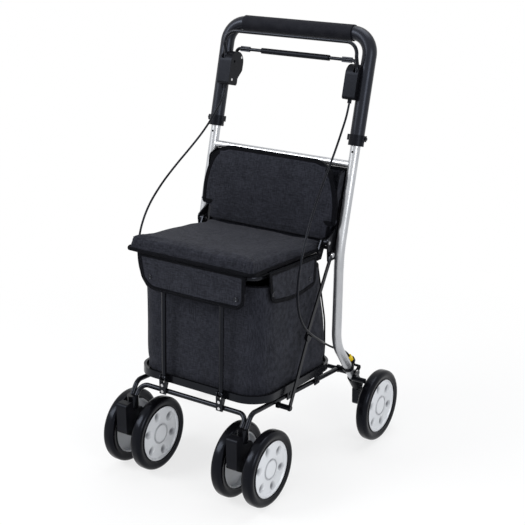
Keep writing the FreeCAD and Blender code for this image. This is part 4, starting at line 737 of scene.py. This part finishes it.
wheel_spots = []
for side, word in SIDES:
    for outward, where in ((1, "outer"), (-1, "inner")):
        x = side * CASTER_HALF + side * outward * TWIN_HALF
        name = "front_%s_%s" % (word, where)
        wheel_spots.append((name, "front", x, FRONT_AXLE_Y, side * outward))
    wheel_spots.append(("rear_" + word, "rear", side * REAR_HALF, REAR_AXLE_Y, side))
for name, kind, x, y, way in wheel_spots:
    place = Matrix.Translation((x * MM, y * MM, TYRE_RADIUS * MM)) @ facing(way)
    for model, piece_name, finish, slot in (
        (tyre_model, "rolling_tyre_" + name, tyre_rubber, "tyre"),
        (rim_models[kind], "wheel_rim_" + name, rim_plastic, "rim"),
    ):
        replaced = (slot + "_" + name,)
        seated(copy_of(model), piece_name, place, "wheel_" + name, finish, replaced)
for model in (tyre_model, *rim_models.values()):
    bpy.data.objects.remove(model)
print("made", len(wheel_spots), "wheels")

# %% [markdown]
# Flat cloth pieces start as one face with as many corners as the outline. The corners are rounded
# by bevelling the points, an inset gives the strip that the binding tape covers, and straight cuts
# across it give the cloth points to bend at. The binding is the strip, copied and made thicker.


# %% Cutting cloth
BORDER = 1


def cut_cloth(corners, border, step):
    """A face in the XZ plane from corners (x, z, radius), with a border, sliced every step."""
    cloth = added(
        bpy.ops.mesh.primitive_circle_add, vertices=len(corners), radius=1, fill_type="NGON"
    )
    for vertex, (x, z, _) in zip(cloth.data.vertices, corners):
        vertex.co = (x * MM, 0, z * MM)
    for x, z, radius in corners:
        if radius > 0:
            corner = Vector((x, 0, z)) * MM

            def at_corner(vertex):
                return (vertex.co - corner).length < 0.05 * MM

            edit_points(cloth, at_corner)
            bpy.ops.mesh.bevel(offset=radius * MM, segments=8, profile=0.5, affect="VERTICES")
            done()
    edit(cloth)
    bpy.ops.mesh.inset(thickness=border * MM)
    bpy.ops.mesh.inset(thickness=1.2 * MM)
    done()
    uses = edge_uses(cloth)
    for face in cloth.data.polygons:
        if len(face.vertices) == 4 and any(uses[key] == 1 for key in face.edge_keys):
            face.material_index = BORDER
    for way in (Vector((1, 0, 0)), Vector((0, 0, 1))):
        places = [vertex.co.dot(way) for vertex in cloth.data.vertices]
        low, span = min(places), max(places) - min(places)
        cuts = max(int(span / (step * MM)), 1)
        for i in range(1, cuts):
            edit(cloth)
            beside_points = low + span * i / cuts + 0.013 * MM
            bpy.ops.mesh.bisect(plane_co=way * beside_points, plane_no=way)
            done()
    return cloth


def edge_uses(cloth):
    """How many faces each edge has: an outer edge has one."""
    uses = {}
    for face in cloth.data.polygons:
        for key in face.edge_keys:
            uses[key] = uses.get(key, 0) + 1
    return uses


def border_of(cloth):
    """The border strip of a cut cloth as a piece of its own."""
    strip = copy_of(cloth)
    without_faces(strip, lambda face: face.material_index != BORDER)
    return strip


def outline_of(cloth):
    """The points of the cloth's outer edge, in order."""
    beside = {}
    for (a, b), count in edge_uses(cloth).items():
        if count == 1:
            beside.setdefault(a, []).append(b)
            beside.setdefault(b, []).append(a)
    start = min(beside)
    order, before, here = [start], None, start
    while True:
        after = [v for v in beside[here] if v != before][0]
        if after == start:
            break
        order.append(after)
        before, here = here, after
    return [cloth.data.vertices[i].co.copy() for i in order]


def edge_distance(x, z, outline):
    """How far a place lies inside an outline in the XZ plane."""
    best = 1.0
    for here, after in zip(outline, outline[1:] + outline[:1]):
        line = Vector((after.x - here.x, after.z - here.z))
        spot = Vector((x - here.x, z - here.z))
        share = min(max(spot.dot(line) / max(line.length_squared, 1e-12), 0), 1)
        best = min(best, (spot - line * share).length)
    return best


def stitches(name, line, gap, offset, place, body):
    """A row of short stitches along a line of points."""
    model = added(
        bpy.ops.mesh.primitive_cylinder_add, vertices=6, radius=0.35 * MM, depth=2.6 * MM
    )
    rounded_edges(model, 0.12 * MM, 1)
    copies = []
    run = 0.0
    for here, after in zip(line, line[1:]):
        step = after - here
        while run < step.length:
            turn = step.to_track_quat("Z", "Y").to_matrix().to_4x4()
            stitch = copy_of(model)
            spot = here + step.normalized() * run + offset
            stitch.data.transform(Matrix.Translation(spot) @ turn)
            copies.append(stitch)
            run += gap * MM
        run -= step.length
    bpy.data.objects.remove(model)
    seated(joined(copies), name, place, body, thread)


# %% [markdown]
# A padded piece is blown up a little with Blender's Cloth: the closed shape is remeshed evenly, its
# seams are held, air pressure swells what is between them, and a cap keeps every point near its
# start. Only then are the seams drawn in and the mesh subdivided once.


# %% Filling a pad
def settled(piece, held, frames, gravity=1, **settings):
    """Lets Cloth act on a piece for some frames, while the held points stay."""
    piece.vertex_groups.new(name="held").add(held, 1.0, "REPLACE")
    cloth = piece.modifiers.new("cloth", "CLOTH")
    for name, value in settings.items():
        setattr(cloth.settings, name, value)
    cloth.settings.quality = 5
    cloth.settings.vertex_group_mass = "held"
    cloth.settings.effector_weights.gravity = gravity
    cloth.point_cache.frame_start = 1
    cloth.point_cache.frame_end = frames
    for step in range(1, frames + 1):
        scene.frame_set(step)
    apply_all(piece)
    scene.frame_set(1)


def puffed(pad, voxel, pressure, cap, held):
    """Swells a closed cloth piece; points where held(point) is true stay."""
    remesh = pad.modifiers.new("even_mesh", "REMESH")
    remesh.mode = "VOXEL"
    remesh.voxel_size = voxel * MM
    apply_all(pad)
    start = [vertex.co.copy() for vertex in pad.data.vertices]
    seams = [i for i, point in enumerate(start) if held(point)]
    settled(
        pad, seams, 20, gravity=0, mass=0.25, tension_stiffness=12, compression_stiffness=12,
        shear_stiffness=6, bending_stiffness=0.6, use_pressure=True,
        uniform_pressure_force=pressure,
    )
    for vertex, before in zip(pad.data.vertices, start):
        move = vertex.co - before
        if move.length > cap * MM:
            vertex.co = before + move.normalized() * cap * MM
    subdivided(pad)


# %% [markdown]
# The seat cushion is a boxed pad: a top, a narrow side strip and a flat underside. Its top is
# slightly crowned and the corners are soft. The seam of the top runs around just under the edge,
# and where the side strip is gathered at the front corners the cloth has small wrinkles.

# %% Seat cushion
SEAT_HALF = 161.5
SEAT_REAR_HALF = 157.0
SEAT_DEPTH = 299.0
front_height, rear_height = 33.0, 19.5
SEAM_DROP, SEAM_DRAW = 7.5, 1.5
GATHER_DEPTH, CROWN_DRIFT = 0.81, 1.3
cushion = added(bpy.ops.mesh.primitive_cube_add, size=1)


def narrowed(point):
    """Draws a place in towards the rear, where the seat sits between its hinges."""
    share = smoothstep(-110 * MM, -60 * MM, point.y)
    point.x *= 1 - (1 - SEAT_REAR_HALF / SEAT_HALF) * share
    return point


def cushion_block(point):
    """The block's corners: as deep as the seat, thicker at the front."""
    x = point.x * 2 * (SEAT_HALF - 2.5)
    y = -SEAT_DEPTH + 2.5 + (point.y + 0.5) * (SEAT_DEPTH - 9)
    height = front_height if point.y < 0 else rear_height
    z = 0.6 + (point.z + 0.5) * (height - 3.5)
    return Vector((x, y, z)) * MM


move_points(cushion, cushion_block)
edit(cushion)
bpy.ops.mesh.bevel(offset=7 * MM, segments=4, profile=0.6, affect="EDGES")
done()
puffed(cushion, 4.5, 4.0, 5.0, lambda point: point.z < 3 * MM)


def cushion_top(y):
    """The height of the cushion's upper edge at a place from front to rear."""
    share = -y / (SEAT_DEPTH * MM)
    return (rear_height + (front_height - rear_height) * share) * MM


def sewn_cushion(point):
    """Draws in the seam under the edge, gathers the corners and lets the top undulate."""
    side = min(SEAT_HALF * MM - abs(point.x), point.y + SEAT_DEPTH * MM)
    top = cushion_top(point.y)
    on_side = smoothstep(16 * MM, 7 * MM, side)
    seam = math.exp(-((point.z - top + SEAM_DROP * MM) / (1.5 * MM)) ** 2) * on_side
    corner = smoothstep(70 * MM, 10 * MM, abs(abs(point.x) - SEAT_HALF * MM)) * smoothstep(
        60 * MM, 8 * MM, point.y + SEAT_DEPTH * MM
    )
    gather = math.sin((point.x * 0.9 + point.y * 1.3) * 520) * corner
    gather *= smoothstep(2 * MM, 9 * MM, point.z)
    front_gather = math.sin(point.x * 310 + 2.1 * math.sin(point.x * 47)) * on_side * 0.55
    drift = noise.noise(Vector((point.x * 14, point.y * 14, 3.1)))
    lift = smoothstep(10 * MM, 20 * MM, point.z) * drift
    middle = Vector((0, -SEAT_DEPTH * MM * 0.5, point.z))
    inward = (middle - point).normalized()
    point += inward * (seam * SEAM_DRAW + (gather + front_gather * 0.5) * GATHER_DEPTH) * MM
    point.z += (lift * CROWN_DRIFT + gather * 0.5) * MM
    return narrowed(point)


move_points(cushion, sewn_cushion)
seated(cushion, "seat_cushion", seat, "lid", denim, ("cushion",), 70)
print("cushion has", len(cushion.data.polygons), "faces")


# %% [markdown]
# A thick black welt runs around the cushion's foot, where the side strip meets the underside. It is
# a tube along the seat's outline, taller than it is wide.


# %% Cushion welt
def rounded_path(half, front, rear, corner, z):
    """A closed path around a rectangle with round corners, from sizes in millimetres."""
    points = []
    steps = 8
    for cx, cy, start in (
        (half - corner, rear - corner, 0), (-half + corner, rear - corner, 90),
        (-half + corner, front + corner, 180), (half - corner, front + corner, 270),
    ):
        for i in range(steps + 1):
            spot = on_arc((cx, cy), corner, start + 90 * i / steps)
            points.append(Vector((*spot, z)) * MM)
    return points


def even_path(points, step):
    """The same closed path with points evenly spaced."""
    out, run = [], 0.0
    for here, after in zip(points, points[1:] + points[:1]):
        length = (after - here).length
        while run < length:
            out.append(here.lerp(after, run / length))
            run += step
        run -= length
    return out


def wavered(point):
    """The place with a slight unevenness, as sewn cord has."""
    spot = Vector((point.x / 0.03, point.y / 0.03, point.z / 0.03 + 2.0))
    return point + noise.noise_vector(spot) * 0.6 * MM


welt_tall = 1.75
welt_line = rounded_path(SEAT_HALF + 1.2, -SEAT_DEPTH - 1.2, -6, 12, 3.4 / welt_tall)
welt_path = [narrowed(wavered(point)) for point in even_path(welt_line, 3 * MM)]
welt = tube_along("seat_welt", welt_path, 2.4 * MM, closed=True, sides=3)
welt.data.transform(Matrix.Diagonal((1, 1, welt_tall, 1)))
seated(welt, "seat_welt", seat, "lid", binding_tape, (), 60)

# %% [markdown]
# The front flap hangs from the seat board over the top of the bag. It is two layers of cloth, bound
# with tape on three sides, and held by press studs. It hangs nearly flat, with a shallow wave.

# %% Front flap
FLAP_HALF = 141.0
FLAP_DROP = 79.0
flap_corners = [
    (-137, -0.3, 0), (FLAP_HALF, -0.3, 0), (143, -77, 24), (20, -FLAP_DROP, 0), (-120, -78.5, 34),
]
flap_face = -SEAT_DEPTH + 8 - 1.5


def hang_front(point):
    """The flap's wave, deeper towards its foot."""
    drop = smoothstep(0, -FLAP_DROP * MM, point.z)
    wave = math.sin(point.x * 26 + 0.6) * 1.1
    wave += noise.noise(Vector((point.x * 22, 5.0, point.z * 30))) * 1.2
    point.y += flap_face * MM - (0.8 + wave) * drop * MM
    return point


def cloth_piece(name, corners, border, step, hang, place, body, nodes, wall=2.4, tape=4.2):
    """A bound piece of cloth: the panel, its binding and a row of stitches."""
    panel = cut_cloth(corners, border, step)
    edge = outline_of(panel)
    binding = border_of(panel)
    inner = even_path(edge, 4 * MM)
    centre = sum(inner, Vector()) / len(inner)
    inset = (border - 1.6) * MM
    row = [point + (centre - point).normalized() * inset for point in inner]
    for obj, thickness in ((panel, wall), (binding, tape)):
        move_points(obj, hang)
        solidified(obj, thickness * MM)
        tidy(obj)
    rounded_edges(binding, 1.1 * MM, 2, 50)
    seated(panel, name, place, body, denim, nodes, 40)
    seated(binding, name + "_binding", place, body, binding_tape, (), 50)
    return [hang(point.copy()) for point in row]


front_row = cloth_piece(
    "seat_front_flap", flap_corners, 8.5, 12, hang_front, seat, "lid", ("front_flap",)
)
stitches("front_flap_stitches", front_row, 3.9, Vector((0, -2.3 * MM, 0)), seat, "lid")

# %% [markdown]
# The side flaps hang beside the bag the same way. Their outline is drawn in the XZ plane as all cut
# cloth is, and then turned to face sideways.

# %% Side flaps
side_corners = [
    (-246, -0.3, 0), (-55, -0.3, 0), (-55, -68, 12), (-135, -82, 36), (-232, -71, 16),
]
SIDE_FLAP_MIDDLE = 166.4 + 1.5


def sideways(side, reach):
    """Turns a cloth to face its side, as far out as a rule says, in millimetres."""
    return lambda point: Vector((side * reach(point, side) * MM, point.x, point.z))


def flap_reach(point, side):
    drop = smoothstep(0, -78 * MM, point.z)
    return SIDE_FLAP_MIDDLE + 0.15 * math.sin(point.x * 31 + side) * drop


for side, word in SIDES:
    row = cloth_piece(
        "seat_side_flap_" + word, side_corners, 9.5, 14, sideways(side, flap_reach), seat, "lid",
        ("side_flaps",), 1.8, 3.0,
    )
    stitches("side_flap_stitches_" + word, row, 3.9, Vector((side * 1.6 * MM, 0, 0)), seat, "lid")

# %% [markdown]
# The press studs are small turned caps: a rolled rim around a domed middle. Each is modelled facing
# along X and turned to face the way its flap does.

# %% Press studs
stud_face = [(1.2, 3.2), (1.0, 2.7), (1.7, 1.6), (1.9, 0)]
stud_outline = [(0, 0), (0, 5.2)] + arc(1.0, 4.4, 0.9, 110, 0, 4) + stud_face
stud_model = turned(stud_outline, 28)
studs = []
for x, z in ((-101, -50), (121, -55)):
    spot = hang_front(Vector((x, 0, z)) * MM)
    spot.y -= 1.2 * MM
    studs.append((spot, Matrix.Rotation(math.radians(-90), 4, "Z")))
for side in (1, -1):
    for y, z in ((-228, -51), (-80, -50)):
        spot = Vector((side * (SIDE_FLAP_MIDDLE + 0.7), y, z)) * MM
        studs.append((spot, facing(side)))
stud_copies = []
for spot, turn in studs:
    stud_copies.append(copy_of(stud_model))
    stud_copies[-1].data.transform(Matrix.Translation(spot) @ turn)
bpy.data.objects.remove(stud_model)
seated(joined(stud_copies), "press_studs", seat, "lid", stud_enamel, ("snaps",))

# %% [markdown]
# The backrest is a thin pad across the uprights. It is cut like the flaps, given a wall, held along
# its bound edge and filled, so it is plump in the middle and flat under the tape. The tape ends
# above the notches, where the pad's foot sits between the seat's hinges.

# %% Backrest
BACK_HALF = 179.0
BACK_NOTCH = -181
BACK_TILT = 14
back_corners = [
    (-157, -214, 0), (157, -214, 0), (157, BACK_NOTCH, 0), (BACK_HALF, BACK_NOTCH, 7),
    (BACK_HALF, -112, 36), (146, -40, 36), (-146, -40, 36), (-BACK_HALF, -112, 36),
    (-BACK_HALF, BACK_NOTCH, 7), (-157, BACK_NOTCH, 0),
]
BACK_MIDDLE = -26.5 + 14.5 / 2
backrest = cut_cloth(back_corners, 10, 14)
back_edge = outline_of(backrest)
back_binding = border_of(backrest)
without_faces(back_binding, lambda face: face.center.z < (BACK_NOTCH + 3) * MM)
for obj in (backrest, back_binding):
    move_points(obj, lambda point: point + Vector((0, BACK_MIDDLE * MM, 0)))
solidified(backrest, 8 * MM)
tidy(backrest)
puffed(backrest, 4, 3.5, 4.5, lambda point: edge_distance(point.x, point.z, back_edge) < 10 * MM)


def worn_back(point):
    """The pad is thin under its tape and a little uneven in the middle."""
    inside = edge_distance(point.x, point.z, back_edge)
    middle = BACK_MIDDLE * MM
    thin = 0.55 + 0.45 * smoothstep(3 * MM, 14 * MM, inside)
    drift = noise.noise(Vector((point.x * 11, 7.0, point.z * 11)))
    drift *= smoothstep(10 * MM, 40 * MM, inside)
    point.y = middle + (point.y - middle) * thin + drift * 0.9 * MM
    return point


def hung_forward(point):
    """The pad hangs steeper than the uprights lean, so its top stands further forward."""
    point.y -= BACK_TILT * min(max((point.z / MM + 210) / 130, 0), 1) * MM
    return point


move_points(backrest, worn_back)
for obj in (backrest, back_binding):
    move_points(obj, hung_forward)
seated(backrest, "back_pad", upright, "frame", denim, ("backrest",), 70)
solidified(back_binding, 7.5 * MM)
tidy(back_binding)
rounded_edges(back_binding, 2.2 * MM, 3, 50)
seated(back_binding, "back_binding", upright, "frame", binding_tape, (), 50)
print("backrest has", len(backrest.data.polygons), "faces")

# %% [markdown]
# A gusset of cloth on each side joins the pad to the uprights, wide at the top and drawn in at its
# foot. Each is a small cut cloth that faces sideways.

# %% Backrest gussets
gusset_corners = [(-31, -66, 6), (-27, -150, 3), (-3, -176, 0), (-3, -52, 0)]
GUSSET_PLACE = 173.0


def gusset_reach(point, side):
    return GUSSET_PLACE - math.sin(smoothstep(-52 * MM, -176 * MM, point.z) * math.pi) * 1.2


for side, word in SIDES:
    cloth_piece(
        "back_gusset_" + word, gusset_corners, 3, 9, sideways(side, gusset_reach), upright,
        "frame", (), 1.4, 2.2,
    )

# %% [markdown]
# Behind the backrest a plain cloth hangs from the cross tube, down to the seat's hinge. It is one
# bound sheet, slightly slack.

# %% Rear panel
panel_corners = [
    (-169, -236, 6), (169, -236, 6), (169, -178, 0), (175.3, -170, 0), (175.3, -50.3, 0),
    (-175.3, -50.3, 0), (-175.3, -170, 0), (-169, -178, 0),
]


def hang_rear(point):
    share = smoothstep(-50 * MM, -150 * MM, point.z) * smoothstep(-236 * MM, -180 * MM, point.z)
    point.y += (share * math.cos(point.x * 9) * 0.9 + noise.noise(point * 20) * 0.35) * MM
    return point


rear_row = cloth_piece(
    "rear_cloth", panel_corners, 8, 16, hang_rear, upright, "frame", ("rear_panel",), 2.2, 3.8
)
stitches("rear_cloth_stitches", rear_row, 5.2, Vector((0, 2.1 * MM, 0)), upright, "frame")

# %% [markdown]
# The bag is a deep shell of the same cloth. A grid is rolled around the tray's outline and shaped
# level by level: it stands on its board inside the tray's ring, bulges between the front rods,
# leans in at the rear and is gathered at its foot. Cloth then lets it sag under its weight.

# %% Bag
RING_HALF, RING_FRONT, RING_REAR, RING_CORNER = 163.1, 12.4, 331.6, 53.6
TRAY_MIDDLE = 157 * MM
ROD_HALF = 76
BAG_LOW, BAG_TOP = -4.6, 246.0
BAG_REAR_TOP, BAG_CORNER_TOP = 266.0, 40.0
AROUND, LEVELS = 112, 34
side_columns = 18
corner_columns = 10


def bag_round(share, half, front, rear, corner):
    """A place on the bag's outline. The shares 0 to 4 go side by side from the right rear."""
    step = int(share) % 4
    part = share - int(share)
    turn = corner_columns / (side_columns + corner_columns)
    centres = (
        (half - corner, rear - corner), (-half + corner, rear - corner),
        (-half + corner, front + corner), (half - corner, front + corner),
    )
    if part < turn:
        return on_arc(centres[step], corner, 90 * step + 90 * part / turn)
    x0, y0 = on_arc(centres[step], corner, 90 * (step + 1))
    x1, y1 = on_arc(centres[(step + 1) % 4], corner, 90 * (step + 1))
    along = (part - turn) / (1 - turn)
    return x0 + (x1 - x0) * along, y0 + (y1 - y0) * along


def bag_point(around, up):
    """A place on the bag's cloth from shares around and up."""
    z = BAG_LOW + (BAG_TOP - BAG_LOW) * up
    rear = RING_REAR + (BAG_REAR_TOP - RING_REAR) * up
    corner = RING_CORNER + (BAG_CORNER_TOP - RING_CORNER) * up
    foot = math.exp(-up * 14)
    x, y = bag_round(around * 4, RING_HALF - 1.5, RING_FRONT + 1.5, rear - 1.5, corner)
    belly = math.sin(min(up * 1.15, 1) * math.pi) ** 0.7
    front = smoothstep(70, 20, y - RING_FRONT)
    bulge = math.cos(min(abs(x) / ROD_HALF, 1) * math.pi / 2) * 2.0
    bulge += smoothstep(ROD_HALF, 130, abs(x)) * 1.2
    y -= (bulge - 1.4) * belly * front
    y += 3.5 * foot * front
    y += 13 * math.sin(min(up * 1.04, 1) * math.pi) * smoothstep(120, 290, y)
    x -= math.copysign(2.2 * foot, x) * smoothstep(40, 110, abs(x))
    fold = noise.noise(Vector((x / 38, y / 38, z / 70))) * 1.7
    crease = math.sin((z * 0.7 + x * 0.45) / 9.0) * math.exp(-up * 5.5) * 0.9
    inward = Vector((-x, (RING_FRONT + RING_REAR) / 2 - y, 0)).normalized()
    pull = max(fold + crease + 0.9, 0) * smoothstep(0, 0.06, up) * smoothstep(1, 0.9, up)
    return (Vector((x, y, z)) + inward * pull) * MM


bag = added(
    bpy.ops.mesh.primitive_grid_add, x_subdivisions=AROUND, y_subdivisions=LEVELS, size=1
)
move_points(bag, lambda point: bag_point(point.x + 0.5, point.y + 0.5))
tidy(bag)
before = [vertex.co.copy() for vertex in bag.data.vertices]
hems = [
    i for i, point in enumerate(before)
    if point.z < (BAG_LOW + 6) * MM or point.z > (BAG_TOP - 6) * MM
]
settled(
    bag, hems, 16, mass=0.3, tension_stiffness=10, bending_stiffness=0.3, shrink_min=-0.012
)
for vertex, start in zip(bag.data.vertices, before):
    move = vertex.co - start
    move = move.normalized() * min(move.length, 3 * MM)
    outward = Vector((start.x, start.y - TRAY_MIDDLE, 0)).normalized()
    move -= outward * max(move.dot(outward), 0)
    vertex.co = start + move

# %% [markdown]
# The shell gets its floor by filling its lower edge, then a wall on the inside, and one subdivision
# to take the facets away.

# %% Bag floor and wall
lowest = min(vertex.co.z for vertex in bag.data.vertices)
edit_points(bag, lambda vertex: vertex.co.z < lowest + 0.3 * MM)
bpy.ops.mesh.edge_face_add()
bpy.ops.mesh.inset(thickness=12 * MM)
bpy.ops.mesh.inset(thickness=60 * MM)
done()
tidy(bag)
solidified(bag, 2.4 * MM, -1.0)
subdivided(bag)
seated(bag, "shopping_bag", tray, "base", denim, ("bag",), 70)
print("bag has", len(bag.data.polygons), "faces")

# %% [markdown]
# Tape binds the bag's top edge and the two rear corners, where the cloth is pieced.

# %% Bag bindings
rim_line = [bag_point(i / AROUND, 0.992) for i in range(AROUND)]
rim_tape = tube_along("bag_top_binding", rim_line, 2.2 * MM, closed=True, sides=3)
bag_trims = [seated(rim_tape, "bag_top_binding", tray, "base", binding_tape, (), 60)]
corner_share = corner_columns / (side_columns + corner_columns) / 4
for word, around in (("right", corner_share * 0.36), ("left", 0.25 + corner_share * 0.64)):
    line = [bag_point(around, 0.01 + 0.975 * i / 40) for i in range(41)]
    name = "bag_rear_seam_" + word
    seam = tube_along(name, line, 1.9 * MM, sides=3)
    bag_trims.append(seated(seam, name, tray, "base", binding_tape, (), 60))

# %% [markdown]
# The frame folds: the tray swings up under the seat, and the bag's cloth crumples between them.
# Here the bag and its tapes only get meshes of their own.

# %% The bag and its tapes get meshes of their own
for piece in [bag, *bag_trims]:
    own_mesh(piece)

# %% [markdown]
# Bent aluminium tube keeps small ripples on the inside of a bend. They are slim half rings that
# stand half a millimetre proud, on the front of each upright where it leans back.

# %% Ripples in the bends
TUBE_HALF, TUBE_RADIUS = 187.0, 11.0
KNEE = Vector((0, 92.8, 482.0))
LEAN = math.radians(15)


def centreline(z):
    """Where the middle of an upright stands at a height near the bend, with the bend rounded."""
    above = smoothstep(448, 516, z)
    straight = KNEE.y + max(z - KNEE.z, 0) * math.tan(LEAN)
    return straight + 2.1 * math.exp(-((z - KNEE.z) / 22) ** 2), LEAN * above


ripples = []
for side in (1, -1):
    for i in range(13):
        z = 452 + i * 5.0
        y, tilt = centreline(z)
        ring = added(
            bpy.ops.mesh.primitive_torus_add, major_segments=40, minor_segments=6,
            major_radius=(TUBE_RADIUS - 0.35) * MM, minor_radius=0.9 * MM,
        )
        edit(ring)
        cut = {"plane_co": (0, 4 * MM, 0), "plane_no": (0, 1, 0)}
        bpy.ops.mesh.bisect(**cut, clear_outer=True, use_fill=True)
        done()
        spot = Matrix.Translation(Vector((side * TUBE_HALF, y, z)) * MM)
        ring.data.transform(spot @ Matrix.Rotation(-tilt, 4, "X"))
        ripples.append(ring)
at_origin = Matrix.Identity(4)
seated(joined(ripples), "bend_ripples", at_origin, "frame", silver_tube)
